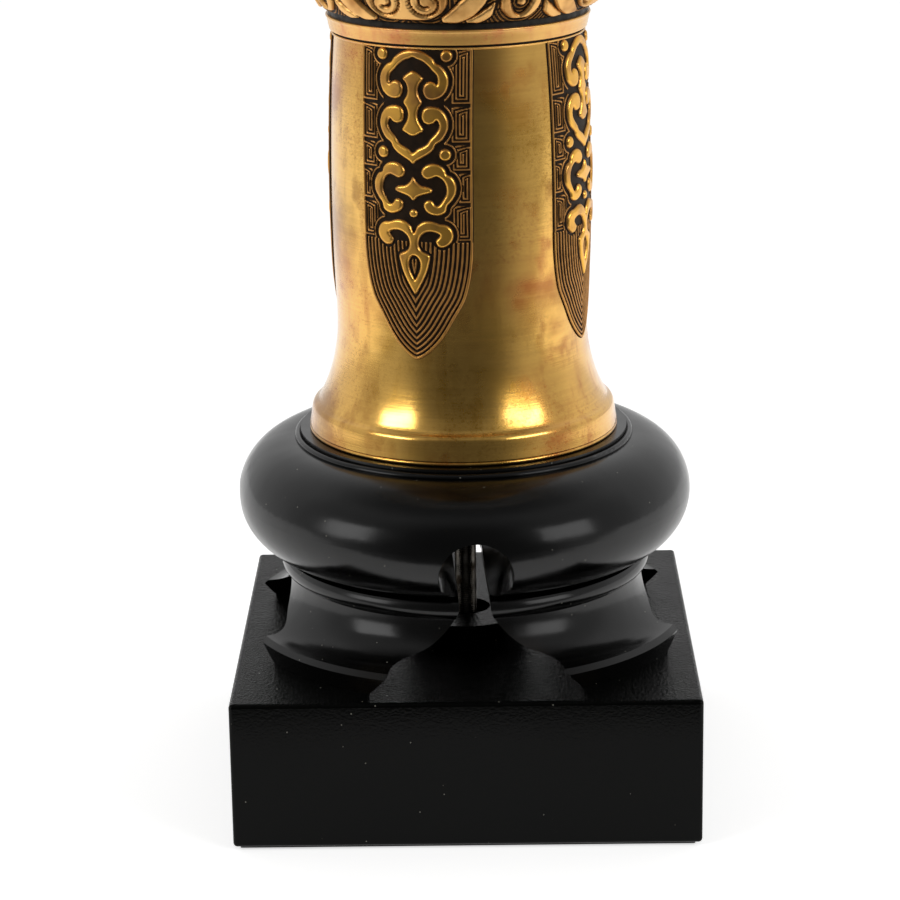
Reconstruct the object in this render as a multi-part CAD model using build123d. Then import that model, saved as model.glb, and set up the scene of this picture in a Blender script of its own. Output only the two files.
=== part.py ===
from build123d import *
import math
import os

# Table lamp of stacked brass sections on an ebonised stand and a black square plinth.
# Lengths are millimetres and angles are degrees. Z is up, the origin is the middle of
# the felt's underside, and the front of the lamp faces -Y.

# Fits shared by several pieces
running_gap = 0.06
thread_gap = 0.05
seat_gap = 0.3
turning_gap = 0.1
cut_overrun = 8.0
quarter_turn = 90.0

# Square plinth on its felt
felt_thickness = 1.5
felt_inset = 3.0
plinth_margin = 1.0
plinth_height = 65.9
plinth_edge_radius = 1.8
plinth_rod_hole_radius = 9.0
pad_radius = 28.0
pad_height = 8.0
pad_hole_radius = 11.0
counterbore_radius = 24.0
counterbore_depth = 22.0
cord_bore_radius = 6.0
cord_bore_height = 11.0

# Bushing in the back of the plinth, where a cord would leave
bushing_flange_radius = 9.0
bushing_flange_thickness = 2.5
bushing_flange_edge = 0.8
bushing_sleeve_length = 14.0
bushing_bore_radius = 3.75

# Threaded lamp pipe that clamps the whole stack
rod_radius = 4.75
rod_bore_radius = 3.2
rod_tail = 6.0
rod_clearance = 0.35
nut_across_flats = 14.3
nut_thickness = 4.0
washer_radius = 16.0
washer_thickness = 1.6
lock_washer_radius = 9.5
lock_washer_thickness = 1.0

# Ebonised stand: a turned ring on four bracket feet, pierced by two crossing keyhole tunnels
stand_height = 95.1
stand_turn = 3.0
ring_centre_radius = 74.7
ring_half_width = 26.8
ring_half_height = 25.8
ring_centre_height = 65.8
ledge_radius = 73.0
ledge_step = 3.0
crown_bead_radius = 1.5
crown_bead_centre_radius = 74.2
boss_height = 4.0
boss_clearance = 0.5
quirk_radius = 76.5
band_radius = 82.0
band_bottom = 29.6
band_top = 38.4
band_edge = 1.0
band_bulge_share = 0.12
neck_radius = 79.5
foot_radius = 100.5
foot_undercut = 1.8
foot_lip_height = 10.0
foot_lip_edge = 2.2
stand_hole_radius = 6.0
keyhole_radius = 16.2
keyhole_height = 54.6
keyhole_slot_width = 13.6
arch_tip_half_width = 37.8
arch_foot_half_width = 46.0
arch_shares = ((0.81, 0.13), (0.55, 0.27), (0.35, 0.48), (0.22, 0.72))

# Lower brass column
column_height = 185.5
column_wall = 2.5
rim_radius = 68.4
rim_height = 11.3
rim_top_radius = 66.0
rim_roll_radius = 0.9
cavetto_radius = 64.4
cavetto_height = 14.6
waist_radius = 55.3
waist_height = 47.5
belly_radius = 56.6
belly_height = 120.0
shaft_top_radius = 54.2
collar_radius = 55.6
collar_lip_radius = 57.4
collar_height = 8.0
collar_edge = 0.8

# Relief blades on the brass sections
blade_count = 4
blade_turn = -20.0
blade_relief = 1.0
blade_half_width = 24.8
blade_drop = 134.0
blade_point_height = 56.0
blade_point_shares = ((0.86, 0.50), (0.665, 0.33), (0.28, 0.075))

# Centring plates between the sections
plate_thickness = 2.5
plate_radius = 56.0
plate_spigot_height = 2.0
plate_spigot_wall = 6.0

# Bulging middle knop
knop_height = 86.0
knop_wall = 3.0
knop_end_radius = 57.2
knop_belly_radius = 70.0

# Upper brass section, flared like a trumpet
trumpet_height = 196.0
trumpet_wall = 2.5
trumpet_waist_radius = 49.5
trumpet_waist_height = 50.0
trumpet_lip_radius = 88.0
trumpet_lip_slope_share = 0.75
trumpet_lip_thickness = 3.0
rising_half_width = 23.0
rising_height = 142.0
rising_shoulder_height = 60.0
rising_relief = 1.0
rising_point_shares = ((0.80, 0.42), (0.52, 0.72))

# Cap over the mouth of the upper section
cap_radius = 86.8
cap_flange_thickness = 2.4
cap_step_radius = 74.0
cap_step_height = 3.2
cap_hub_radius = 15.0
cap_height = 17.0
cap_wall = 2.4
cap_spigot_radius = 78.0
cap_spigot_height = 2.0

# Check ring and neck tube around the rod
check_ring_radius = 13.0
check_ring_height = 5.0
check_ring_edge = 1.6
neck_radius_outer = 8.0
neck_length = 26.0
neck_bead_radius = 2.2

# Harp saddle and harp
saddle_thickness = 2.0
saddle_width = 13.0
saddle_half_span = 28.0
saddle_arm_height = 22.0
saddle_bend_radius = 4.0
saddle_pin_radius = 2.0
saddle_pin_height = 10.0
harp_wire_radius = 2.0
harp_height = 254.0
harp_leg_length = 26.0
harp_half_width = 58.0
harp_shoulder_height = 78.0
harp_upper_height = 160.0
harp_top_half_width = 19.0
harp_leg_bend = 34.0
harp_shoulder_bend = 60.0
harp_upper_bend = 90.0
harp_top_bend = 12.0
harp_plate_radius = 9.0
harp_plate_thickness = 2.4
stud_radius = 3.15
stud_length = 12.0
ferrule_length = 16.0
ferrule_wall = 1.5
ferrule_lip_radius = 4.6
ferrule_lip_height = 2.4

# Lampholder with its turn switch
holder_cap_radius = 17.6
holder_cap_wall = 0.8
holder_hub_radius = 8.0
holder_hub_height = 9.0
holder_dome_height = 9.0
holder_skirt_height = 7.0
rod_grip = 8.0
holder_shell_wall = 0.6
holder_shell_height = 46.0
holder_shell_bead = 0.7
liner_wall = 0.7
liner_drop = 1.5
core_height = 16.0
core_base = 3.0
screw_shell_wall = 0.5
screw_shell_height = 24.0
screw_shell_hole_radius = 5.0
contact_radius = 3.6
contact_thickness = 1.0
terminal_screw_radius = 3.2
terminal_screw_head = 2.0
terminal_screw_shank = 1.6
terminal_screw_length = 6.0
terminal_screw_offset = 9.0
set_screw_radius = 1.5
set_screw_length = 4.6
stem_radius = 2.4
stem_inner = 5.0
stem_hole_clearance = 0.9
stem_height = 11.0
knob_radius = 6.5
knob_neck_radius = 4.4
knob_neck_length = 3.0
knob_length = 15.0
knob_edge = 1.4
knob_stand_off = 1.0
knob_flute_count = 16
knob_flute_radius = 0.7
knob_grip = 9.0

# Bulb
bulb_base_radius = 13.2
bulb_base_height = 22.0
bulb_base_wall = 0.5
bulb_base_taper_height = 4.0
bulb_base_foot_radius = 7.6
bulb_insulator_height = 2.6
bulb_insulator_radius = 6.6
bulb_contact_radius = 3.8
bulb_contact_height = 1.2
bulb_neck_radius = 12.4
bulb_neck_insert = 5.0
bulb_globe_radius = 30.0
bulb_globe_height = 52.0
bulb_glass_wall = 0.9
bulb_flare_radius = 15.5
bulb_flare_height = 14.0
bulb_mount_radius = 4.0
bulb_mount_height = 36.0
bulb_lead_radius = 0.45
bulb_lead_spread = 9.0
bulb_lead_rise = 14.0
filament_radius = 0.6

# Shade on its fitter
shade_top_radius = 190.5
shade_bottom_radius = 215.9
shade_height = 304.0
shade_lining_wall = 1.2
shade_fabric_wall = 0.8
shade_tape_width = 11.0
shade_tape_wall = 0.5
shade_wire_radius = 1.8
shade_drop = 13.0
fitter_spoke_count = 3
fitter_spoke_turn = 90.0
fitter_hub_radius = 12.0
fitter_hub_thickness = 1.6
fitter_hub_clearance = 0.3
fitter_spoke_flat = 34.0
fitter_spoke_bend = 14.0

# Finial
finial_flange_radius = 8.0
finial_flange_height = 2.4
finial_neck_radius = 4.8
finial_neck_height = 9.0
finial_ball_radius = 10.0
finial_tip_radius = 3.0
finial_tip_end_radius = 1.0
finial_tip_height = 6.0
finial_bore_depth = 11.0

# Levels up the lamp
plinth_bottom = felt_thickness
plinth_top = plinth_bottom + plinth_height
counterbore_ceiling = plinth_bottom + counterbore_depth
stand_top = plinth_top + stand_height
column_top = stand_top + column_height
knop_bottom = column_top + plate_thickness
knop_top = knop_bottom + knop_height
trumpet_bottom = knop_top + plate_thickness
trumpet_top = trumpet_bottom + trumpet_height
cap_top = trumpet_top + cap_height
neck_bottom = cap_top + check_ring_height
neck_top = neck_bottom + neck_length
holder_bottom = neck_top + saddle_thickness
shell_bottom = holder_bottom + holder_hub_height + holder_dome_height
shell_top = shell_bottom + holder_shell_height
core_bottom = shell_bottom + core_base
core_top = core_bottom + core_height
screw_shell_top = core_top + screw_shell_height
stem_level = shell_bottom + stem_height
saddle_arm_top = neck_top + saddle_arm_height
harp_foot = saddle_arm_top + saddle_pin_height + turning_gap
harp_top = neck_top + harp_height
plate_top = harp_top + harp_wire_radius
fitter_hub_bottom = plate_top + turning_gap
fitter_hub_top = fitter_hub_bottom + fitter_hub_thickness
finial_bottom = fitter_hub_top + turning_gap
shade_top = fitter_hub_top + shade_drop
shade_bottom = shade_top - shade_height

# Widths that follow from a neighbour
plinth_width = 2 * (foot_radius + plinth_margin)
column_mouth_radius = shaft_top_radius - column_wall
shell_radius = holder_cap_radius - holder_cap_wall - thread_gap
liner_radius = shell_radius - holder_shell_wall - thread_gap
core_radius = liner_radius - liner_wall - thread_gap
screw_shell_radius = bulb_base_radius + running_gap + screw_shell_wall
stem_hole_radius = stem_radius + stem_hole_clearance
rod_hole_radius = rod_radius + rod_clearance
ferrule_radius = harp_wire_radius + running_gap + ferrule_wall

ON_BASE = (Align.CENTER, Align.CENTER, Align.MIN)


def turned(*edges):
    """A solid turned about the lamp's axis from a closed outline of (radius, height)."""
    return revolve(Plane.XZ * make_face(edges), axis=Axis.Z)


def ring(outer, inner, bottom, height):
    """A plain ring of one height, or a disc where the inner radius is zero."""
    solid = Cylinder(outer, height, align=ON_BASE)
    if inner:
        solid -= Pos(Z=-cut_overrun) * Cylinder(inner, height + 2 * cut_overrun, align=ON_BASE)
    return Pos(Z=bottom) * solid


def around(solid, count, turn):
    """Copies of a solid set evenly about the lamp's axis, the first one turned by turn."""
    return [Rot(Z=turn + 360 * number / count) * solid for number in range(count)]


def forward(sketch, depth):
    """Push a (sideways, up) sketch from the lamp's axis out towards the front."""
    return extrude(Plane.XZ * sketch, amount=depth)


def front_bore(radius, start, depth, level):
    """A round bar that runs from a start distance forward by depth, at one level."""
    bar = Cylinder(radius, depth, align=ON_BASE)
    return Pos(0, -start, level) * Rot(X=90) * bar


# Felt and plinth
def felt_pad():
    width = plinth_width - 2 * felt_inset
    return Box(width, width, felt_thickness, align=ON_BASE)


def plinth():
    block = Box(plinth_width, plinth_width, plinth_height, align=ON_BASE)
    block = fillet(block.edges(), plinth_edge_radius)
    block = Pos(Z=plinth_bottom) * block
    block -= ring(plinth_rod_hole_radius, 0, plinth_bottom, plinth_height + cut_overrun)
    block += ring(pad_radius, pad_hole_radius, plinth_top, pad_height)
    block -= ring(counterbore_radius, 0, plinth_bottom - cut_overrun, counterbore_depth + cut_overrun)
    cord_bore = Cylinder(cord_bore_radius, plinth_width, align=ON_BASE)
    block -= Pos(0, 0, plinth_bottom + cord_bore_height) * Rot(X=-90) * cord_bore
    return block


def cord_bushing():
    flange = Cylinder(bushing_flange_radius, bushing_flange_thickness, align=ON_BASE)
    flange = fillet(flange.edges().group_by(Axis.Z)[-1], bushing_flange_edge)
    sleeve_radius = cord_bore_radius - thread_gap
    sleeve = Cylinder(sleeve_radius, bushing_sleeve_length, align=(Align.CENTER, Align.CENTER, Align.MAX))
    bore_length = 2 * (bushing_sleeve_length + bushing_flange_thickness)
    bushing = flange + sleeve - Cylinder(bushing_bore_radius, bore_length)
    return Pos(0, plinth_width / 2, plinth_bottom + cord_bore_height) * Rot(X=-90) * bushing


# Clamping hardware under the plinth, and the rod
def bottom_washer():
    return ring(washer_radius, rod_hole_radius, counterbore_ceiling - washer_thickness, washer_thickness)


def lock_washer():
    bottom = counterbore_ceiling - washer_thickness - lock_washer_thickness
    return ring(lock_washer_radius, rod_hole_radius, bottom, lock_washer_thickness)


def bottom_nut():
    bottom = counterbore_ceiling - washer_thickness - lock_washer_thickness - nut_thickness
    hexagon = RegularPolygon(nut_across_flats / 2, 6, major_radius=False)
    nut = Pos(Z=bottom) * extrude(hexagon, amount=nut_thickness)
    return nut - ring(rod_radius + thread_gap, 0, bottom - cut_overrun, nut_thickness + 2 * cut_overrun)


def lamp_rod():
    stack = washer_thickness + lock_washer_thickness + nut_thickness
    bottom = counterbore_ceiling - stack - rod_tail
    return ring(rod_radius, rod_bore_radius, bottom, holder_bottom + rod_grip - bottom)


# Ebonised stand
def stand_body():
    """The turned blank without its ring: feet, neck band, quirk and the ledge on top."""
    cavetto_width = foot_radius - neck_radius
    cavetto_height_span = band_bottom - foot_lip_height
    edge_start = foot_lip_height - foot_lip_edge
    band_middle = (band_bottom + band_top) / 2
    bulge = band_radius + (band_top - band_bottom) * band_bulge_share
    side = [
        (quirk_radius, band_top + band_edge),
        (quirk_radius, ring_centre_height),
        (ledge_radius, ring_centre_height),
        (ledge_radius, stand_height),
        (0, stand_height),
        (0, 0),
        (foot_radius - foot_undercut, 0),
        (foot_radius, edge_start),
    ]
    blank = turned(
        Polyline(*side),
        Line((foot_radius, edge_start), (foot_radius - foot_lip_edge, foot_lip_height)),
        EllipticalCenterArc(
            (foot_radius - foot_lip_edge, band_bottom), cavetto_width - foot_lip_edge,
            cavetto_height_span, start_angle=270, arc_size=-90),
        ThreePointArc((neck_radius, band_bottom), (bulge, band_middle), (band_radius, band_top)),
        Line((band_radius, band_top), (quirk_radius, band_top + band_edge)),
    )
    return blank


def crown_bead():
    bead = Pos(crown_bead_centre_radius, stand_height - ledge_step) * Circle(crown_bead_radius)
    return revolve(Plane.XZ * bead, axis=Axis.Z)


def keyhole_cutter():
    """One through cut from front to back: a round eye, a slot and an ogee arch between the feet."""
    slot = keyhole_slot_width / 2
    below = -cut_overrun
    drift = (arch_foot_half_width - arch_tip_half_width) / foot_lip_height * cut_overrun
    foot_edge = arch_foot_half_width + drift
    rise = band_top - foot_lip_height
    ogee = [(arch_tip_half_width, foot_lip_height)]
    ogee += [(arch_tip_half_width * across, foot_lip_height + rise * up) for across, up in arch_shares]
    ogee += [(slot, band_top)]
    mirrored = [(-across, up) for across, up in ogee]
    arch = make_face([
        Polyline(ogee[-1], (slot, keyhole_height), (-slot, keyhole_height), mirrored[-1]),
        Spline(*ogee),
        Spline(*mirrored),
        Polyline(ogee[0], (foot_edge, below), (-foot_edge, below), mirrored[0]),
    ])
    eye = Pos(0, keyhole_height) * Circle(keyhole_radius)
    return extrude(Plane.XZ * (arch + eye), amount=foot_radius + cut_overrun, both=True)


def stand():
    ring_section = Pos(ring_centre_radius, ring_centre_height) * Ellipse(ring_half_width, ring_half_height)
    body = stand_body() + revolve(Plane.XZ * ring_section, axis=Axis.Z) + crown_bead()
    boss_radius = rim_top_radius - column_wall - boss_clearance
    body += ring(boss_radius, 0, stand_height, boss_height)
    body -= ring(stand_hole_radius, 0, 0, stand_height + boss_height + cut_overrun)
    cutter = keyhole_cutter()
    body -= cutter + Rot(Z=quarter_turn) * cutter
    return Pos(Z=plinth_top) * Rot(Z=stand_turn) * body


# Lower brass column
def column_side(inset):
    """The column's side from its foot rim up to the shaft's top, moved inwards by inset."""
    shaft_top = column_height - collar_height
    rim = (rim_radius - inset, 0)
    rim_top = (rim_top_radius - inset, rim_height)
    cavetto = (cavetto_radius - inset, cavetto_height)
    waist = (waist_radius - inset, waist_height)
    belly = (belly_radius - inset, belly_height)
    top = (shaft_top_radius - inset, shaft_top)
    flare = (2 * (waist_radius - cavetto_radius), waist_height - cavetto_height)
    taper = (2 * (shaft_top_radius - belly_radius), shaft_top - belly_height)
    return [
        Polyline(rim, rim_top, cavetto),
        Spline(cavetto, waist, tangents=[flare, (0, 1)]),
        Spline(waist, belly, top, tangents=[(0, 1), taper]),
    ]


def column_solid(proud):
    """The column as a solid bar, its side standing proud by a relief height."""
    shaft_top = column_height - collar_height
    foot = rim_radius + proud
    head = shaft_top_radius + proud
    return turned(*column_side(-proud), Polyline((head, shaft_top), (0, shaft_top), (0, 0), (foot, 0)))


def collar(bottom, height):
    """A collar that flares upwards, with a thin edge on its lip."""
    lip_edge = height - collar_edge
    return Pos(Z=bottom) * turned(Polyline(
        (0, 0), (collar_radius, 0), (collar_lip_radius, lip_edge),
        (collar_lip_radius - collar_edge, height), (0, height), (0, 0)))


def hanging_blade():
    """A tongue that hangs from the collar and ends in a point, pushed through the shaft."""
    top = column_height - collar_height
    tip = top - blade_drop
    shoulder = tip + blade_point_height
    width, height = blade_half_width, blade_point_height
    right = [(width * across, tip + height * up) for across, up in blade_point_shares]
    left = [(-across, up) for across, up in right]
    outline = make_face([
        Polyline((-blade_half_width, shoulder), (-blade_half_width, top),
                 (blade_half_width, top), (blade_half_width, shoulder)),
        Spline((blade_half_width, shoulder), *right, (0, tip)),
        Spline((-blade_half_width, shoulder), *left, (0, tip)),
    ])
    return forward(outline, rim_radius)


def lower_column():
    proud = column_solid(blade_relief) & hanging_blade()
    body = column_solid(0) + collar(column_height - collar_height, collar_height)
    body += around(proud, blade_count, blade_turn)
    roll_centre = Pos(rim_radius - rim_roll_radius / 2, rim_roll_radius)
    body += revolve(Plane.XZ * (roll_centre * Circle(rim_roll_radius)), axis=Axis.Z)
    shaft_top = column_height - collar_height
    body -= turned(*column_side(column_wall), Polyline(
        (column_mouth_radius, shaft_top), (0, shaft_top), (0, 0), (rim_radius - column_wall, 0)))
    body -= ring(column_mouth_radius, 0, shaft_top, collar_height + cut_overrun)
    return Pos(Z=stand_top) * body


# Centring plates
def centring_plate(level, lower_mouth, upper_mouth):
    """A plate seen as the dark line between two sections, with a spigot into each of them."""
    plate = ring(plate_radius, 0, 0, plate_thickness)
    lower = lower_mouth - seat_gap
    upper = upper_mouth - seat_gap
    plate += ring(lower, lower - plate_spigot_wall, -plate_spigot_height, plate_spigot_height)
    plate += ring(upper, upper - plate_spigot_wall, plate_thickness, plate_spigot_height)
    plate -= ring(rod_hole_radius, 0, -cut_overrun, plate_thickness + 2 * cut_overrun)
    return Pos(Z=level) * plate


# Middle knop
def knop_solid(inset):
    """The knop as a solid drum, its bulging side moved inwards by inset."""
    end = knop_end_radius - inset
    belly = knop_belly_radius - inset
    lean = 2 * math.atan2(belly - end, knop_height / 2)
    outwards = (math.sin(lean), math.cos(lean))
    inwards = (-math.sin(lean), math.cos(lean))
    return turned(
        Spline((end, 0), (belly, knop_height / 2), (end, knop_height), tangents=[outwards, inwards]),
        Polyline((end, knop_height), (0, knop_height), (0, 0), (end, 0)))


def knop():
    return Pos(Z=knop_bottom) * (knop_solid(0) - knop_solid(knop_wall))


# Upper trumpet section
def trumpet_side(inset):
    """The flared side from the collar's top up to the lip, moved inwards by inset."""
    foot = (shaft_top_radius - inset, collar_height)
    waist = (trumpet_waist_radius - inset, trumpet_waist_height)
    lip = (trumpet_lip_radius - inset, trumpet_height)
    narrowing = (2 * (waist[0] - foot[0]), waist[1] - foot[1])
    return [
        Spline(foot, waist, tangents=[narrowing, (0, 1)]),
        Spline(waist, lip, tangents=[(0, 1), (1, trumpet_lip_slope_share)]),
    ]


def trumpet_solid(inset):
    lip = (trumpet_lip_radius - inset, trumpet_height)
    foot = (shaft_top_radius - inset, collar_height)
    return turned(*trumpet_side(inset), Polyline(lip, (0, trumpet_height), (0, collar_height), foot))


def rising_blade():
    """A tall leaf that stands on the collar and narrows to a point, pushed through the side."""
    tip = collar_height + rising_height
    shoulder = collar_height + rising_shoulder_height
    rise = tip - shoulder
    right = [(rising_half_width * across, shoulder + rise * up) for across, up in rising_point_shares]
    left = [(-across, up) for across, up in right]
    outline = make_face([
        Polyline((-rising_half_width, shoulder), (-rising_half_width, collar_height),
                 (rising_half_width, collar_height), (rising_half_width, shoulder)),
        Spline((rising_half_width, shoulder), *right, (0, tip)),
        Spline((-rising_half_width, shoulder), *left, (0, tip)),
    ])
    return forward(outline, trumpet_lip_radius)


def upper_trumpet():
    proud = trumpet_solid(-rising_relief) & rising_blade()
    lip_start = trumpet_height - trumpet_lip_thickness
    body = trumpet_solid(0) + ring(trumpet_lip_radius, 0, lip_start, trumpet_lip_thickness)
    body += Pos(Z=collar_height) * Rot(X=180) * collar(0, collar_height)
    body += around(proud, blade_count, blade_turn)
    body -= trumpet_solid(trumpet_wall)
    body -= ring(column_mouth_radius, 0, -cut_overrun, collar_height + cut_overrun)
    return Pos(Z=trumpet_bottom) * body


# Cap, check ring and neck
def vase_cap():
    dome_bottom = cap_flange_thickness + cap_step_height
    under = dome_bottom - cap_wall
    outer = turned(
        Polyline((0, cap_height), (0, 0), (cap_radius, 0), (cap_radius, cap_flange_thickness),
                 (cap_step_radius, cap_flange_thickness), (cap_step_radius, dome_bottom)),
        EllipticalCenterArc((cap_step_radius, cap_height), cap_step_radius - cap_hub_radius,
                            cap_height - dome_bottom, start_angle=270, arc_size=-90),
        Line((cap_hub_radius, cap_height), (0, cap_height)))
    inner_radius = cap_step_radius - cap_wall
    inner_hub = cap_hub_radius - cap_wall
    inner = turned(
        Polyline((0, cap_height - cap_wall), (0, -cut_overrun),
                 (inner_radius, -cut_overrun), (inner_radius, under)),
        EllipticalCenterArc((inner_radius, cap_height - cap_wall), inner_radius - inner_hub,
                            cap_height - cap_wall - under, start_angle=270, arc_size=-90),
        Line((inner_hub, cap_height - cap_wall), (0, cap_height - cap_wall)))
    body = outer - inner
    body += ring(cap_spigot_radius, cap_spigot_radius - cap_wall, -cap_spigot_height, cap_spigot_height)
    body -= ring(rod_hole_radius, 0, 0, cap_height + cut_overrun)
    return Pos(Z=trumpet_top) * body


def check_ring():
    disc = Cylinder(check_ring_radius, check_ring_height, align=ON_BASE)
    disc = Pos(Z=cap_top) * fillet(disc.edges(), check_ring_edge)
    return disc - ring(rod_hole_radius, 0, cap_top - cut_overrun, check_ring_height + 2 * cut_overrun)


def neck_tube():
    body = ring(neck_radius_outer, rod_hole_radius, neck_bottom, neck_length)
    bead = Pos(neck_radius_outer, neck_bottom + neck_length / 2) * Circle(neck_bead_radius)
    return body + revolve(Plane.XZ * bead, axis=Axis.Z) - ring(rod_hole_radius, 0, neck_bottom, neck_length)


# Harp and its saddle
def harp_saddle():
    span = 2 * (saddle_half_span + saddle_thickness / 2)
    outer = Box(span, saddle_width, saddle_arm_height, align=ON_BASE)
    outer = fillet(outer.edges().filter_by(Axis.Y).group_by(Axis.Z)[0], saddle_bend_radius)
    inner = Box(span - 2 * saddle_thickness, saddle_width * 2, saddle_arm_height, align=ON_BASE)
    inner = fillet(inner.edges().filter_by(Axis.Y).group_by(Axis.Z)[0], saddle_bend_radius - saddle_thickness)
    body = outer - Pos(Z=saddle_thickness) * inner
    body -= ring(rod_hole_radius, 0, -cut_overrun, saddle_thickness + 2 * cut_overrun)
    pin = ring(saddle_pin_radius, 0, saddle_arm_height - saddle_pin_height, 2 * saddle_pin_height)
    for side in (-1, 1):
        body += Pos(X=side * saddle_half_span) * pin
    return Pos(Z=neck_top) * body


def harp():
    knee = harp_foot + harp_leg_length
    right = [
        (saddle_half_span, 0, harp_foot),
        (saddle_half_span, 0, knee),
        (harp_half_width, 0, harp_foot + harp_shoulder_height),
        (harp_half_width, 0, harp_foot + harp_upper_height),
        (harp_top_half_width, 0, harp_top),
    ]
    left = [(-x, y, z) for x, y, z in reversed(right)]
    bends = [harp_leg_bend, harp_shoulder_bend, harp_upper_bend, harp_top_bend]
    route = FilletPolyline(*right, *left, radius=bends + bends[::-1])
    body = sweep(Plane(route @ 0, z_dir=route % 0) * Circle(harp_wire_radius), path=route)
    body += ring(harp_plate_radius, 0, plate_top - harp_plate_thickness, harp_plate_thickness)
    body += ring(stud_radius, 0, plate_top - harp_plate_thickness, harp_plate_thickness + stud_length)
    return body


def harp_ferrule(side):
    body = ring(ferrule_radius, 0, 0, ferrule_length) + ring(ferrule_lip_radius, 0, 0, ferrule_lip_height)
    body -= ring(harp_wire_radius + running_gap, 0, -cut_overrun, ferrule_length + 2 * cut_overrun)
    return Pos(side * saddle_half_span, 0, saddle_arm_top + turning_gap) * body


# Lampholder
def holder_cap():
    """The spun cap with its threaded hub, drilled on the right for the set screw."""
    hub_top = holder_bottom + holder_hub_height
    dome_top = hub_top + holder_dome_height
    inner = holder_cap_radius - holder_cap_wall
    hub_inner = rod_radius + thread_gap
    top = dome_top + holder_skirt_height
    cap = turned(
        Polyline((hub_inner, hub_top), (hub_inner, holder_bottom), (holder_hub_radius, holder_bottom),
                 (holder_hub_radius, hub_top)),
        EllipticalCenterArc((holder_hub_radius, dome_top), holder_cap_radius - holder_hub_radius,
                            holder_dome_height, start_angle=270, arc_size=90),
        Polyline((holder_cap_radius, dome_top), (holder_cap_radius, top), (inner, top), (inner, dome_top)),
        EllipticalCenterArc((holder_hub_radius, dome_top), inner - holder_hub_radius,
                            holder_dome_height - holder_cap_wall, start_angle=0, arc_size=-90),
        Line((holder_hub_radius, hub_top + holder_cap_wall), (hub_inner, hub_top + holder_cap_wall)),
        Line((hub_inner, hub_top + holder_cap_wall), (hub_inner, hub_top)))
    level = holder_bottom + holder_hub_height / 2
    return cap - Rot(Z=quarter_turn) * front_bore(set_screw_radius + thread_gap, 0, holder_cap_radius, level)


def cap_set_screw():
    level = holder_bottom + holder_hub_height / 2
    start = rod_radius + thread_gap
    return Rot(Z=quarter_turn) * front_bore(set_screw_radius, start, set_screw_length, level)


def holder_shell():
    body = ring(shell_radius, shell_radius - holder_shell_wall, shell_bottom, holder_shell_height)
    bead = Pos(shell_radius, shell_top - holder_shell_bead) * Circle(holder_shell_bead)
    body += revolve(Plane.XZ * bead, axis=Axis.Z)
    body -= ring(shell_radius - holder_shell_wall, 0, shell_bottom, holder_shell_height + cut_overrun)
    return body - front_bore(stem_hole_radius, 0, holder_cap_radius + cut_overrun, stem_level)


def holder_liner():
    height = holder_shell_height - liner_drop
    body = ring(liner_radius, liner_radius - liner_wall, shell_bottom, height)
    return body - front_bore(stem_hole_radius, 0, holder_cap_radius + cut_overrun, stem_level)


def holder_core():
    """The moulded block that carries the switch, the contacts and the terminal screws."""
    body = ring(core_radius, 0, core_bottom, core_height)
    body -= front_bore(stem_radius + running_gap, stem_inner - turning_gap, core_radius, stem_level)
    for side in (-1, 1):
        hole = ring(terminal_screw_shank + thread_gap, 0, core_bottom, terminal_screw_length + thread_gap)
        body -= Pos(X=side * terminal_screw_offset) * hole
    return body


def terminal_screw(side):
    head = ring(terminal_screw_radius, 0, core_bottom - terminal_screw_head, terminal_screw_head)
    shank = ring(terminal_screw_shank, 0, core_bottom, terminal_screw_length)
    return Pos(X=side * terminal_screw_offset) * (head + shank)


def screw_shell():
    body = ring(screw_shell_radius, 0, core_top, screw_shell_height)
    bore = screw_shell_radius - screw_shell_wall
    body -= ring(bore, 0, core_top + screw_shell_wall, screw_shell_height)
    return body - ring(screw_shell_hole_radius, 0, core_top - cut_overrun, 2 * cut_overrun)


def centre_contact():
    return ring(contact_radius, 0, core_top, contact_thickness)


def switch_knob():
    """The fluted knob, turned about its own axis and then laid to face the front."""
    body = Cylinder(knob_neck_radius, knob_neck_length, align=ON_BASE)
    barrel = Cylinder(knob_radius, knob_length - knob_neck_length, align=ON_BASE)
    barrel = fillet(barrel.edges(), knob_edge)
    body += Pos(Z=knob_neck_length) * barrel
    flute = Pos(X=knob_radius) * ring(knob_flute_radius, 0, knob_length - knob_grip, 2 * knob_grip)
    for cut in around(flute, knob_flute_count, 0):
        body -= cut
    body -= Cylinder(stem_radius + thread_gap, knob_neck_length * 2)
    return Pos(0, -holder_cap_radius - knob_stand_off, stem_level) * Rot(X=90) * body


def switch_stem():
    length = holder_cap_radius + knob_stand_off + knob_neck_length - stem_inner
    return front_bore(stem_radius, stem_inner, length, stem_level)


# Bulb
def bulb_levels():
    contact = core_top + contact_thickness + turning_gap
    insulator = contact + bulb_contact_height
    base = insulator + bulb_insulator_height
    return contact, insulator, base


def bulb_contact():
    return ring(bulb_contact_radius, 0, bulb_levels()[0], bulb_contact_height)


def bulb_insulator():
    cone = Cone(bulb_contact_radius, bulb_insulator_radius, bulb_insulator_height, align=ON_BASE)
    return Pos(Z=bulb_levels()[1]) * cone


def bulb_base():
    bottom = bulb_levels()[2]
    shoulder = bottom + bulb_base_taper_height
    top = bottom + bulb_base_height
    inner = bulb_base_radius - bulb_base_wall
    foot_inner = bulb_base_foot_radius - bulb_base_wall
    return turned(Polyline(
        (0, bottom), (bulb_base_foot_radius, bottom), (bulb_base_radius, shoulder), (bulb_base_radius, top),
        (inner, top), (inner, shoulder + bulb_base_wall), (foot_inner, bottom + bulb_base_wall),
        (0, bottom + bulb_base_wall), (0, bottom)))


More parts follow.
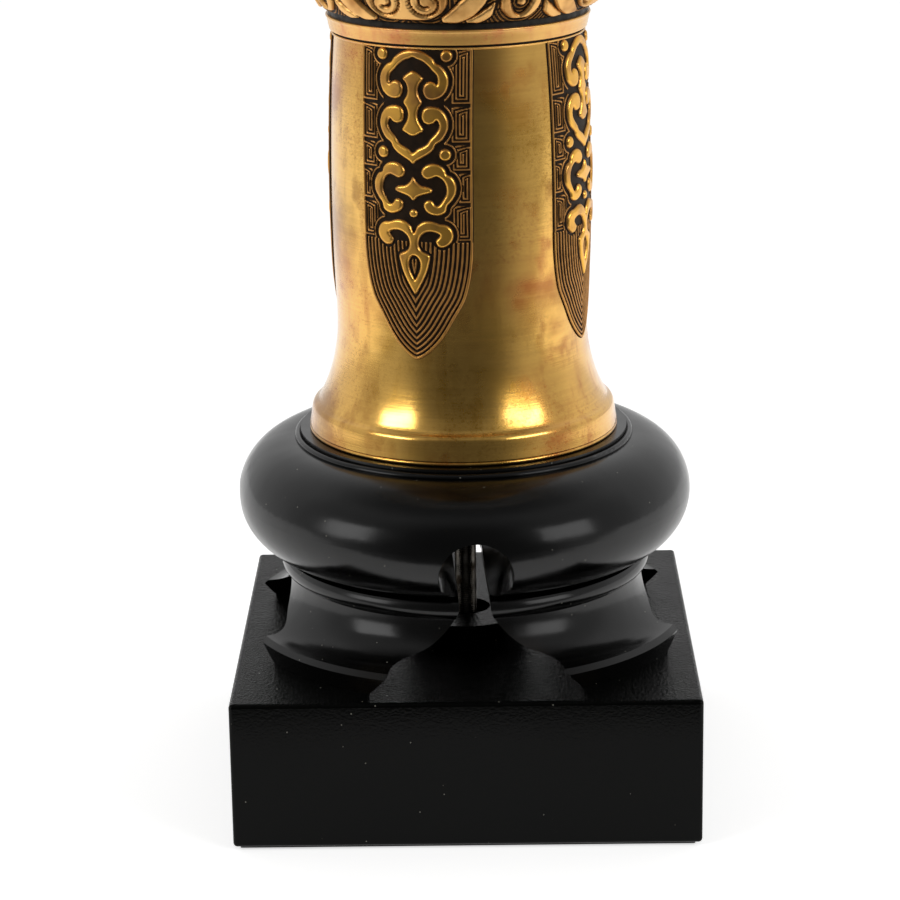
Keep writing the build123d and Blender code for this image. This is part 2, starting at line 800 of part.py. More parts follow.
def bulb_outline(inset):
    """The bulb's side from the neck in the base up to its crown, moved inwards by inset."""
    base_top = bulb_levels()[2] + bulb_base_height
    centre = base_top + bulb_globe_height
    globe = bulb_globe_radius - inset
    neck = bulb_neck_radius - inset
    flare = (bulb_flare_radius - inset, base_top + bulb_flare_height)
    return [
        Line((neck, base_top - bulb_neck_insert), (neck, base_top)),
        Spline((neck, base_top), flare, (globe, centre), tangents=[(0, 1), (0, 1)]),
        CenterArc((0, centre), globe, 0, 90),
        Line((0, centre + globe), (0, base_top - bulb_neck_insert)),
        Line((0, base_top - bulb_neck_insert), (neck, base_top - bulb_neck_insert)),
    ]


def bulb_glass():
    return turned(*bulb_outline(0)) - turned(*bulb_outline(bulb_glass_wall))


def bulb_mount():
    """The glass stem inside the bulb that carries the lead wires."""
    bottom = bulb_levels()[2] + bulb_base_height - bulb_neck_insert
    foot = bulb_neck_radius - bulb_glass_wall - thread_gap
    flare = Cone(foot, bulb_mount_radius, bulb_neck_insert, align=ON_BASE)
    stem = Cylinder(bulb_mount_radius, bulb_mount_height, align=ON_BASE)
    return Pos(Z=bottom) * (flare + stem)


def bulb_filament():
    """Two lead wires out of the stem's top, with the filament's coil between their ends."""
    bottom = bulb_levels()[2] + bulb_base_height - bulb_neck_insert + bulb_mount_height
    reach = bulb_mount_radius / 2
    tip = (bulb_lead_spread, 0, bottom + bulb_lead_rise)
    body = None
    for side in (-1, 1):
        route = Line((side * reach, 0, bottom), (side * tip[0], 0, tip[2]))
        lead = sweep(Plane(route @ 0, z_dir=route % 0) * Circle(bulb_lead_radius), path=route)
        body = lead if body is None else body + lead
    coil = Cylinder(filament_radius, 2 * bulb_lead_spread, rotation=(0, 90, 0))
    return body + Pos(0, 0, tip[2]) * coil


# Shade
def shade_radius(level):
    """The outside radius of the stiff lining at a height above the shade's bottom."""
    return shade_bottom_radius + (shade_top_radius - shade_bottom_radius) * level / shade_height


def sleeve(low, high, gap, wall):
    """A thin tapered sleeve between two heights, a gap outside the lining's outer face."""
    bottom_radius = shade_radius(low) + gap
    top_radius = shade_radius(high) + gap
    return Pos(Z=shade_bottom) * turned(Polyline(
        (bottom_radius, low), (bottom_radius + wall, low), (top_radius + wall, high), (top_radius, high),
        (bottom_radius, low)))


def shade_lining():
    return sleeve(0, shade_height, -shade_lining_wall, shade_lining_wall)


def shade_fabric():
    return sleeve(0, shade_height, 0, shade_fabric_wall)


def shade_top_tape():
    return sleeve(shade_height - shade_tape_width, shade_height, shade_fabric_wall, shade_tape_wall)


def shade_bottom_tape():
    return sleeve(0, shade_tape_width, shade_fabric_wall, shade_tape_wall)


def wire_ring(level):
    """A wire hoop that just touches the inside of the lining at a height above the bottom."""
    lean = math.atan2(shade_bottom_radius - shade_top_radius, shade_height)
    reach = (shade_wire_radius + turning_gap) / math.cos(lean)
    centre = shade_radius(level) - shade_lining_wall - reach
    return Pos(Z=shade_bottom + level) * Torus(centre, shade_wire_radius), centre


def shade_bottom_ring():
    return wire_ring(shade_wire_radius)[0]


def shade_fitter():
    """The top hoop, three spokes that dip to the middle, and the hub that sits on the harp."""
    level = shade_height - shade_wire_radius
    hoop, hoop_radius = wire_ring(level)
    spoke_level = fitter_hub_bottom + shade_wire_radius
    rim_level = shade_bottom + level
    route = FilletPolyline(
        (hoop_radius, 0, rim_level), (fitter_spoke_flat + fitter_spoke_bend, 0, rim_level),
        (fitter_hub_radius + fitter_spoke_bend / 2, 0, spoke_level),
        (fitter_hub_radius / 2 + stud_radius, 0, spoke_level),
        radius=[fitter_spoke_bend, fitter_hub_thickness])
    spoke = sweep(Plane(route @ 0, z_dir=route % 0) * Circle(shade_wire_radius), path=route)
    body = hoop + around(spoke, fitter_spoke_count, fitter_spoke_turn)
    body += ring(fitter_hub_radius, 0, fitter_hub_bottom, fitter_hub_thickness)
    body -= ring(fitter_hub_radius, 0, fitter_hub_bottom - cut_overrun, cut_overrun)
    body -= ring(finial_flange_radius + seat_gap, 0, fitter_hub_top, cut_overrun)
    hole = stud_radius + fitter_hub_clearance
    return body - ring(hole, 0, fitter_hub_bottom - cut_overrun, fitter_hub_thickness + 2 * cut_overrun)


# Finial
def finial():
    ball_centre = finial_neck_height + finial_ball_radius
    tip_start = ball_centre + finial_ball_radius - finial_tip_radius / 2
    body = ring(finial_flange_radius, 0, 0, finial_flange_height)
    body = fillet(body.edges(), finial_flange_height / 4)
    body += ring(finial_neck_radius, 0, 0, ball_centre)
    body += Pos(Z=ball_centre) * Sphere(finial_ball_radius)
    tip = Cone(finial_tip_radius, finial_tip_end_radius, finial_tip_height, align=ON_BASE)
    body += Pos(Z=tip_start) * tip
    body -= ring(stud_radius + running_gap, 0, -cut_overrun, finial_bore_depth + cut_overrun)
    return Pos(Z=finial_bottom) * body


knop_mouth_radius = knop_end_radius - knop_wall

nodes = {
    "felt_pad": felt_pad(),
    "plinth": plinth(),
    "cord_bushing": cord_bushing(),
    "bottom_washer": bottom_washer(),
    "lock_washer": lock_washer(),
    "bottom_nut": bottom_nut(),
    "lamp_rod": lamp_rod(),
    "stand": stand(),
    "lower_column": lower_column(),
    "column_plate": centring_plate(column_top, column_mouth_radius, knop_mouth_radius),
    "knop": knop(),
    "knop_plate": centring_plate(knop_top, knop_mouth_radius, column_mouth_radius),
    "upper_trumpet": upper_trumpet(),
    "vase_cap": vase_cap(),
    "check_ring": check_ring(),
    "neck_tube": neck_tube(),
    "harp_saddle": harp_saddle(),
    "harp": harp(),
    "harp_ferrule_left": harp_ferrule(-1),
    "harp_ferrule_right": harp_ferrule(1),
    "holder_cap": holder_cap(),
    "cap_set_screw": cap_set_screw(),
    "holder_shell": holder_shell(),
    "holder_liner": holder_liner(),
    "holder_core": holder_core(),
    "terminal_screw_left": terminal_screw(-1),
    "terminal_screw_right": terminal_screw(1),
    "screw_shell": screw_shell(),
    "centre_contact": centre_contact(),
    "switch_stem": switch_stem(),
    "switch_knob": switch_knob(),
    "bulb_contact": bulb_contact(),
    "bulb_insulator": bulb_insulator(),
    "bulb_base": bulb_base(),
    "bulb_glass": bulb_glass(),
    "bulb_mount": bulb_mount(),
    "bulb_filament": bulb_filament(),
    "shade_fitter": shade_fitter(),
    "shade_bottom_ring": shade_bottom_ring(),
    "shade_lining": shade_lining(),
    "shade_fabric": shade_fabric(),
    "shade_top_tape": shade_top_tape(),
    "shade_bottom_tape": shade_bottom_tape(),
    "finial": finial(),
}

os.makedirs("parts", exist_ok=True)
for name, solid in nodes.items():
    export_step(solid, "parts/" + name + ".step")
    print(name, len(solid.solids()), round(solid.volume, 1))
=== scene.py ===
# %% [markdown]
# # A brass table lamp, dressed for its picture
# The lamp is a stack on one threaded pipe: a black square plinth, an ebonised stand pierced by
# four keyholes, a brass column with four ornamented blades, a bulging knop, a trumpet, and the
# lampholder, harp and shade above. The CAD model gives every piece its size and its place, so this
# script only loads it, puts finer skins where the real lamp has ornament or cloth, and gives each
# surface a finish worked out from formulas.

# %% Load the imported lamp
import math

import bmesh
import bpy
import numpy as np
from mathutils import Matrix, Vector


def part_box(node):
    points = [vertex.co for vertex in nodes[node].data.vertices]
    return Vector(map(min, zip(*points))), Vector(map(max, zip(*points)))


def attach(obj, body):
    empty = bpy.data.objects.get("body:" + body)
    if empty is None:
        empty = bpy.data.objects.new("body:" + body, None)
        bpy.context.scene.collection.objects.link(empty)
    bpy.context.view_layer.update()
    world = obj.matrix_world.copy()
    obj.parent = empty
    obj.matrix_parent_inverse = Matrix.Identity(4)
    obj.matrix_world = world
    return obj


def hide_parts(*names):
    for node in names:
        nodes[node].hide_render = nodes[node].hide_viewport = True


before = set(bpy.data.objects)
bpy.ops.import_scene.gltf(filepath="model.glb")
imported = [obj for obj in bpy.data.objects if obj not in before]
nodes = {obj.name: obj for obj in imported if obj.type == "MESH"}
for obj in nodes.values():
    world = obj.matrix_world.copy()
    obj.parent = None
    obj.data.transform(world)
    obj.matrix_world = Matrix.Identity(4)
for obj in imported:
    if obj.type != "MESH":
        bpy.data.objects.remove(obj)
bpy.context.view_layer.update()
scene = bpy.context.scene
mm = 0.001


def in_scene(name, data):
    """An object for a mesh, a lamp or a camera, linked into the scene."""
    made = bpy.data.objects.new(name, data)
    scene.collection.objects.link(made)
    return made


# %% [markdown]
# ## The camera
# A product picture is taken with a long lens from a little above. The height, the tilt and the lens
# were worked out from the plinth's corners and the round edges of the brass, so the camera is given
# directly by its place and three angles. Three direction vectors make its matrix.

# %% Camera
camera_place = Vector((8.8, -1327.5, 547.5)) * mm
pitch, yaw, roll = (math.radians(angle) for angle in (16.6826, -0.65, -0.863))
lens_length = 123.17
sensor_width = 36.0

ahead = Vector((math.sin(yaw) * math.cos(pitch), math.cos(yaw) * math.cos(pitch), -math.sin(pitch)))
level_right = Vector((math.cos(yaw), -math.sin(yaw), 0))
level_up = level_right.cross(ahead)
right = level_right * math.cos(roll) + level_up * math.sin(roll)
up = level_up * math.cos(roll) - level_right * math.sin(roll)

camera = in_scene("camera", bpy.data.cameras.new("camera"))
camera.data.lens = lens_length
camera.data.sensor_width = sensor_width
camera.data.clip_end = 20
camera.matrix_world = Matrix((
    (right.x, up.x, -ahead.x, camera_place.x),
    (right.y, up.y, -ahead.y, camera_place.y),
    (right.z, up.z, -ahead.z, camera_place.z),
    (0, 0, 0, 1)))
scene.camera = camera
print("camera looks along", [round(part, 3) for part in ahead])

# %% [markdown]
# ## A short way to write finishes
# Every finish below is a handful of nodes: some noise, a change of range, a mix of colours, a little
# bump. Writing them through one small class keeps each finish to a few lines that read like a recipe.
# Patterns are placed by Object coordinates, which are metres here, so a noise scale of 1000 is a
# millimetre.

# %% The finish helper
def feed(tree, socket, value):
    """Gives an input its link or its number."""
    if isinstance(value, bpy.types.NodeSocket):
        tree.links.new(value, socket)
    elif value is not None:
        socket.default_value = value


def add_node(tree, kind, *values, put=None, **named):
    """A new node, with its settings put and its inputs fed by place or by name."""
    made = tree.nodes.new(kind)
    for key, value in (put or {}).items():
        setattr(made, key, value)
    for key, value in [*enumerate(values), *named.items()]:
        feed(tree, made.inputs[key if isinstance(key, int) else key.replace("_", " ")], value)
    return made


class Finish:
    """One procedural material: its shader, and short names for the nodes that feed it."""

    def __init__(self, name, **constants):
        self.material = bpy.data.materials.new(name)
        self.material.use_nodes = True
        self.tree = self.material.node_tree
        self.shader = self.tree.nodes["Principled BSDF"]
        self.place = self.node("TexCoord").outputs["Object"]
        self.give(**constants)

    def node(self, kind, *values, put=None, **named):
        return add_node(self.tree, "ShaderNode" + kind, *values, put=put, **named)

    def give(self, **sockets):
        for key, value in sockets.items():
            feed(self.tree, self.shader.inputs[key.replace("_", " ")], value)

    def stretched(self, *scale, place=None):
        return self.node("Mapping", place or self.place, Scale=scale).outputs[0]

    def noise(self, scale, detail=3.0, place=None):
        return self.node("TexNoise", place or self.place, Scale=scale, Detail=detail).outputs["Fac"]

    def between(self, value, low, high, first=0.0, last=1.0):
        """Smoothly carries value from first at low to last at high."""
        put = {"interpolation_type": "SMOOTHSTEP"}
        return self.node("MapRange", value, low, high, first, last, put=put).outputs[0]

    def maths(self, operation, *values):
        return self.node("Math", *values, put={"operation": operation}).outputs[0]

    def mix(self, share, first, second):
        made = self.node("Mix", share, put={"data_type": "RGBA"})
        feed(self.tree, made.inputs[6], first)
        feed(self.tree, made.inputs[7], second)
        return made.outputs[2]

    def split(self, vector=None):
        return self.node("SeparateXYZ", vector or self.place).outputs

    def attribute(self, name):
        return self.node("Attribute", put={"attribute_name": name}).outputs["Fac"]

    def bump(self, height, distance, strength=1.0, normal=None):
        made = self.node("Bump", Strength=strength, Distance=distance, Height=height, Normal=normal)
        self.give(Normal=made.outputs[0])
        return made.outputs[0]


def tone(red, green, blue):
    return (red, green, blue, 1.0)


print("finish helper ready")

# %% [markdown]
# ## Light, floor and surroundings
# Polished brass and black lacquer show what stands round them more than they show themselves. The
# lamp stood on a white table that ran up behind it, with a dark room in front, and that is built
# here: the world is white behind, dark in front and dimmer overhead, and the table stops a hand's
# width in front of the plinth. The camera itself sees a white world and a nearly white floor that
# still takes the lamp's shadow.

# %% World and floor
world = bpy.data.worlds.new("studio")
scene.world = world
world.use_nodes = True
world_tree = world.node_tree
world_tree.nodes.clear()


def world_node(kind, *values, put=None):
    return add_node(world_tree, "ShaderNode" + kind, *values, put=put)


room_levels = ((-1.0, 0.085), (-0.82, 0.12), (-0.52, 0.42), (0.0, 0.55), (0.25, 0.76))
look = world_node("SeparateXYZ", world_node("TexCoord").outputs["Generated"]).outputs
backwards = world_node("MapRange", look[1], -1.0, 1.0, 0.0, 1.0).outputs[0]
by_direction = world_node("ValToRGB", backwards)
ramp = by_direction.color_ramp
while len(ramp.elements) < len(room_levels):
    ramp.elements.new(0.5)
for stop, (direction, level) in zip(ramp.elements, room_levels):
    stop.position = (direction + 1) / 2
    stop.color = tone(level, level, level)
overhead = world_node(
    "MapRange", look[2], 0.72, 0.95, 1.0, 0.4, put={"interpolation_type": "SMOOTHSTEP"}).outputs[0]
around_lamp = world_node("Math", by_direction.outputs[0], overhead, put={"operation": "MULTIPLY"}).outputs[0]
seen = world_node("LightPath").outputs["Is Camera Ray"]
final_level = world_node("Math", seen, around_lamp, put={"operation": "MAXIMUM"}).outputs[0]
background = world_node("Background", tone(1, 1, 1), final_level)
world_node("OutputWorld", background.outputs[0])

floor_front, floor_back, floor_side, floor_drop = -0.26, 2.6, 1.9, -0.0001
floor_glow = 0.62
floor_finish = Finish("floor_white", Roughness=0.7)
paper = floor_finish.noise(6.0)
floor_finish.give(Base_Color=floor_finish.mix(paper, tone(0.78, 0.78, 0.775), tone(0.82, 0.82, 0.815)))
path = floor_finish.node("LightPath").outputs
seen_or_shiny = floor_finish.maths("MAXIMUM", path["Is Camera Ray"], path["Is Glossy Ray"])
glow = floor_finish.maths("MULTIPLY", seen_or_shiny, floor_glow)
floor_finish.give(Emission_Color=tone(1, 1, 1), Emission_Strength=glow)

floor_mesh = bpy.data.meshes.new("floor")
floor_mesh.from_pydata(
    [(-floor_side, floor_front, floor_drop), (floor_side, floor_front, floor_drop),
     (floor_side, floor_back, floor_drop), (-floor_side, floor_back, floor_drop)], [], [(0, 1, 2, 3)])
floor_mesh.materials.append(floor_finish.material)
floor = in_scene("floor", floor_mesh)
print("floor runs from", floor_front, "to", floor_back, "m")

# %% [markdown]
# Four soft lamps stand at the sides. The upper pair makes the two bright patches on the brass foot,
# and the larger, lower pair draws the streaks on the lacquer. Light linking keeps each pair to its
# own pieces, as a photographer's flags do.

# %% Lamps
lamp_distance = 1.7
aim = Vector((0, 0, 0.18))


def soft_lamp(name, azimuth, elevation, width, height, level):
    """A rectangle of even light, placed by the directions that it is seen in from the lamp."""
    across, rise = math.radians(azimuth), math.radians(elevation)
    way = Vector((math.sin(across) * math.cos(rise), -math.cos(across) * math.cos(rise), math.sin(rise)))
    lamp = bpy.data.lights.new(name, "AREA")
    lamp.shape = "RECTANGLE"
    lamp.size, lamp.size_y = width, height
    lamp.energy = level * math.pi * width * height
    holder = in_scene(name, lamp)
    holder.location = aim + way * lamp_distance
    holder.rotation_mode = "QUATERNION"
    holder.rotation_quaternion = way.to_track_quat("Z", "Y")
    print(name, "at", [round(part, 2) for part in holder.location])
    return holder


def flagged(lamps, lacquer_only):
    """Keeps a pair of lamps on the lacquered wood, or off it."""
    shown = bpy.data.collections.new("lacquer_flags")
    for name in ("stand", "plinth"):
        shown.objects.link(nodes[name])
    for member in shown.collection_objects:
        member.light_linking.link_state = "INCLUDE" if lacquer_only else "EXCLUDE"
    for lamp in lamps:
        lamp.light_linking.receiver_collection = shown


flagged([
    soft_lamp("softbox_left", -57, 28, 0.74, 0.35, 8.0),
    soft_lamp("softbox_right", 53, 27, 0.84, 0.36, 8.0)], False)
flagged([
    soft_lamp("low_box_left", -59, 10, 0.78, 0.74, 2.4),
    soft_lamp("low_box_right", 51, 10, 0.78, 0.74, 2.0)], True)

# %% [markdown]
# ## Brass, bare and patinated
# The plain brass is satin: turned and brushed round the lamp, so its reflections are drawn out up and
# down, with brown tarnish coming through in patches. An anisotropic shader with its grain turned a
# quarter gives the drawn-out reflections, and noise squeezed flat gives the brush lines. Where there
# is ornament the hollows are nearly black and only the tops are rubbed bare, so that finish reads how
# high the surface stands from an attribute that the mesh carries.

# %% Brass finishes
def satin_brass(name, bare, tarnish, roughness, tarnish_share, grain=0.55):
    """Brushed brass; tarnish_share is how much of it has turned brown."""
    finish = Finish(
        name, Metallic=1.0, Anisotropic=grain, Anisotropic_Rotation=0.25, Coat_Weight=0.65,
        Coat_Roughness=0.16)
    copper = tone(tarnish[0] * 1.25, tarnish[1] * 0.82, tarnish[2] * 1.5)
    brush = finish.noise(1.0, 4.0, finish.stretched(9, 9, 1500))
    streaks = finish.noise(1.0, 3.0, finish.stretched(30, 30, 330))
    patches = finish.between(finish.noise(24.0, 6.0), 0.62 - tarnish_share * 0.3, 0.74)
    blots = finish.between(finish.noise(1.0, 5.0, finish.stretched(80, 80, 60)), 0.5, 0.74, 0.0, 0.7)
    runs = finish.between(finish.noise(1.0, 4.0, finish.stretched(110, 110, 16)), 0.5, 0.72, 0.0, 0.5)
    share = finish.maths("MAXIMUM", finish.maths("MAXIMUM", patches, blots), runs)
    worn = finish.between(finish.noise(19.0, 3.0), 0.45, 0.62)
    specks = finish.between(finish.noise(1.0, 6.0, finish.stretched(640, 640, 900)), 0.5, 0.68, 0.0, 0.42)
    share = finish.maths("MULTIPLY_ADD", specks, worn, share)
    streaked = finish.maths("MULTIPLY_ADD", streaks, 0.36, -0.16)
    brushed = finish.maths("MULTIPLY_ADD", brush, 0.36, streaked)
    warmth = finish.between(finish.noise(14.0, 2.0), 0.4, 0.65)
    stain = finish.mix(warmth, tarnish, copper)
    finish.give(
        Base_Color=finish.mix(finish.maths("ADD", share, brushed), bare, stain),
        Roughness=finish.maths("MULTIPLY_ADD", share, 0.14, roughness),
        Tangent=finish.node("Tangent", put={"direction_type": "RADIAL", "axis": "Z"}).outputs[0])
    wavy = finish.bump(finish.noise(38.0, 2.0), 0.0012, 0.14)
    finish.bump(finish.maths("ADD", brush, streaks), 0.00005, 0.5, wavy)
    return finish


def relief_brass(name, top, line, roughness=0.3, height_of_top=1.0):
    """Ornament: black hollows, brown half-way up and bare brass on top, by the relief attribute."""
    finish = Finish(name, Specular_IOR_Level=0.14)
    relief = finish.maths("DIVIDE", finish.attribute("relief"), height_of_top)
    wear = finish.noise(240.0, 4.0)
    level = finish.maths("ADD", relief, finish.maths("MULTIPLY_ADD", wear, 0.24, -0.12))
    grime = finish.mix(wear, tone(0.005, 0.0035, 0.002), tone(0.036, 0.019, 0.008))
    stained = finish.mix(finish.between(finish.noise(70.0, 3.0), 0.42, 0.75), top, line)
    half_way = finish.mix(finish.between(level, 0.24, 0.56), grime, line)
    finish.give(
        Base_Color=finish.mix(finish.between(level, 0.55, 0.85), half_way, stained),
        Metallic=finish.between(level, 0.15, 0.5, 0.25, 1.0),
        Roughness=finish.between(level, 0.25, 0.8, 0.55, roughness))
    finish.bump(wear, 0.00008, 0.5)
    return finish


bare_brass = tone(0.94, 0.55, 0.118)
brown_brass = tone(0.43, 0.22, 0.022)
column_brass = satin_brass("column_brass", bare_brass, brown_brass, 0.2, 0.5, 0.4)
collar_brass = satin_brass("collar_brass", tone(0.94, 0.565, 0.145), tone(0.66, 0.36, 0.07), 0.48, 0.2, 0.0)
turned_brass = satin_brass("turned_brass", tone(0.78, 0.48, 0.16), brown_brass, 0.2, 0.2)
blade_brass = relief_brass("blade_brass", tone(0.97, 0.52, 0.092), tone(0.54, 0.26, 0.075), 0.33, 1.25)
knop_brass = relief_brass("knop_brass", tone(0.92, 0.53, 0.18), tone(0.46, 0.21, 0.055), 0.42, 1.7)
print("brass finishes ready")

# %% [markdown]
# ## Small tools for turned pieces and outlines
# A turned piece is a closed outline carried round the axis. Points along a smooth line come from a
# Catmull-Rom curve, because it passes through every point that it is given. One function makes any
# mesh into a finished piece: it turns the faces outwards, shades it smooth between sharp edges and
# tells the frame which body it rides on.

# %% Mesh helpers
turned_steps = 224


def through(points, steps=8, closed=False):
    """A smooth line through the points given."""
    line = np.array(points, float)
    if closed:
        padded = np.vstack([line[-1], line, line[0], line[1]])
    else:
        padded = np.vstack([2 * line[0] - line[1], line, 2 * line[-1] - line[-2]])
    share = np.linspace(0, 1, steps, endpoint=False)[:, None]
    spans = []
    for before, start, end, after in zip(padded, padded[1:], padded[2:], padded[3:]):
        bend = (2 * before - 5 * start + 4 * end - after) * share ** 2
        twist = (3 * start - before - 3 * end + after) * share ** 3
        spans.append(0.5 * (2 * start + (end - before) * share + bend + twist))
    return np.vstack(spans) if closed else np.vstack([*spans, line[-1]])


def make_piece(name, points, faces, finish, body="root", stands_for=(), slot=None, sharp=35.0, relief=None):
    """A mesh in metres becomes a piece of the lamp, with its faces outwards."""
    mesh = bpy.data.meshes.new(name)
    mesh.from_pydata(np.asarray(points).tolist(), [], faces)
    shape = bmesh.new()
    shape.from_mesh(mesh)
    bmesh.ops.recalc_face_normals(shape, faces=shape.faces)
    shape.to_mesh(mesh)
    shape.free()
    mesh.shade_smooth()
    mesh.set_sharp_from_angle(angle=math.radians(sharp))
    mesh.materials.append(finish.material)
    if relief is not None:
        heights = mesh.attributes.new("relief", "FLOAT", "POINT").data
        heights.foreach_set("value", np.asarray(relief, np.float32))
    made = in_scene(name, mesh)
    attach(made, body)
    if stands_for:
        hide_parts(*stands_for)
    print(name, "faces:", len(faces))
    return made


def around_axis(radius, height, azimuth):
    """Points in metres from millimetres and an angle measured from the front towards the right."""
    return np.stack([radius * np.sin(azimuth), -radius * np.cos(azimuth), height + 0 * azimuth], -1) * mm


def quads(rows, columns, first=0, around=False, over=False):
    """Faces of a grid of points; around closes each row, over joins the last row to the first."""
    faces = []
    for row in range(rows if over else rows - 1):
        this_row, next_row = first + row * columns, first + (row + 1) % rows * columns
        for column in range(columns if around else columns - 1):
            beside = (column + 1) % columns
            faces.append((this_row + column, this_row + beside, next_row + beside, next_row + column))
    return faces


def turned(name, outline, finish, **facts):
    """A closed outline of (radius, height) carried round the lamp's axis."""
    outline = np.array(outline, float)
    azimuth = np.linspace(0, 2 * math.pi, turned_steps, endpoint=False)
    points = around_axis(outline[:, :1], outline[:, 1:], azimuth[None, :]).reshape(-1, 3)
    faces = quads(len(outline), turned_steps, around=True, over=True)
    return make_piece(name, points, faces, finish, **facts)


def bead(centre_radius, centre_height, radius, start, end, steps=8):
    """Points of a round moulding, between two angles from straight out, in degrees."""
    angles = np.radians(np.linspace(start, end, steps))
    return np.stack([centre_radius + radius * np.cos(angles), centre_height + radius * np.sin(angles)], -1)


print("helpers ready")

# %% [markdown]
# ## The column
# The column is spun brass: a stepped foot rim, a hollow sweep up to a waist, a long side that swells
# a little, and a collar that flares. Its radius is wanted again for the blades, so the long side is
# written once as a line through measured radii. The rim and the collar are added as beads and steps,
# because the bright lines round the lamp are these small rounds catching light. The collar's steps
# are measured from its outer end: the trumpet has the same collar, the other way up.

# %% Column body
stand_top, column_height, collar_drop = 162.5, 185.5, 8.0
column_top = stand_top + column_height
shaft_top = column_top - collar_drop
column_wall = 2.5
side_line = through([
    (64.4, 13.7), (63.4, 15.4), (61.0, 20.4), (58.7, 27.0), (56.95, 34.0), (55.8, 41.5), (55.35, 49.0),
    (55.55, 62.0), (56.35, 80.0), (56.7, 100.0), (56.6, 120.0), (56.15, 140.0), (55.3, 160.0),
    (54.2, 177.5)], 8)
column_line = np.stack([side_line[:, 0], side_line[:, 1] + stand_top], -1)


def column_radius(height):
    return np.interp(height, column_line[:, 1], column_line[:, 0])


rim_line = through([
    (68.72, 2.2), (68.5, 3.4), (68.1, 5.4), (67.8, 7.4), (67.5, 9.6), (67.15, 11.1), (66.35, 12.3),
    (65.3, 13.0), (64.4, 13.7)], 5)
rim = [
    *bead(67.95, stand_top + 0.9, 0.85, -90, 60),
    *[(radius, height + stand_top) for radius, height in rim_line[:-1]]]
collar_bore = 51.8
collar_steps = [
    (54.0, 7.45), (53.9, 7.25), (54.0, 6.85), (55.2, 6.7), (55.7, 6.5), (55.95, 5.6), (56.3, 3.8),
    (56.75, 1.7)]
crease_near, crease_far = 6.65, 7.55
collar = [
    *bead(54.5, shaft_top - 0.1, 0.5, -80, 70, 7),
    *[(radius, column_top - drop) for radius, drop in collar_steps],
    *bead(56.6, column_top - 0.65, 0.65, -50, 90, 8),
    (collar_bore, column_top)]
inner = [(collar_bore, shaft_top)]
inner += [(radius - column_wall, height) for radius, height in column_line[::-6]]
inner += [(64.0, stand_top + 11.0), (66.2, stand_top)]
outline = [*rim, *column_line, *collar, *inner]
column_body = turned(
    "column_body", outline, column_brass, stands_for=["lower_column"], slot="column_brass", sharp=50)

# %% [markdown]
# The collar is duller and browner than the shaft, but it is the same piece of brass. A second material
# on its faces says so, without cutting the mesh in two, and a third paints the shade into the crease under
# it.

# %% Collar finish
# The crease under each collar gets near-black paint that stands in for the shade falling into it.
painted_crease_shade = Finish("painted_crease_shade", Metallic=0.4, Roughness=0.6)
crease_shade_mottle = painted_crease_shade.noise(300.0)
painted_crease_shade.give(Base_Color=painted_crease_shade.mix(crease_shade_mottle, tone(0.012, 0.009, 0.006), tone(0.05, 0.032, 0.016)))


crease_floor = 53.0


def mark_collar(body, lowest, highest, crease):
    """Gives the faces between two levels the collar's brass, and those in the crease a painted shade."""
    body.data.materials.append(collar_brass.material)
    body.data.materials.append(painted_crease_shade.material)
    for face in body.data.polygons:
        level, radius = face.center.z / mm, math.hypot(*face.center.xy) / mm
        if lowest < level < highest:
            in_crease = crease[0] < level < crease[1] and radius > crease_floor
            face.material_index = 2 if in_crease else 1
    print(body.name, "collar faces:", sum(face.material_index > 0 for face in body.data.polygons))


mark_collar(column_body, shaft_top - 0.2, column_top + 1, (column_top - crease_far, column_top - crease_near))

# %% [markdown]
# ## Ornament as a height field
# The blades carry cloud-head scrolls, a bar, a diamond and a pierced spear, over a ground of square
# spirals and long parallel lines. Carving such shapes face by face is slow, so each is drawn as an
# outline in millimetres across and down the blade, and the distance from the outlines decides how
# high every point of a fine grid stands. Distance does a lot at once: it rounds the shoulders of a
# scroll, leaves a channel round it, and draws the line that echoes it.

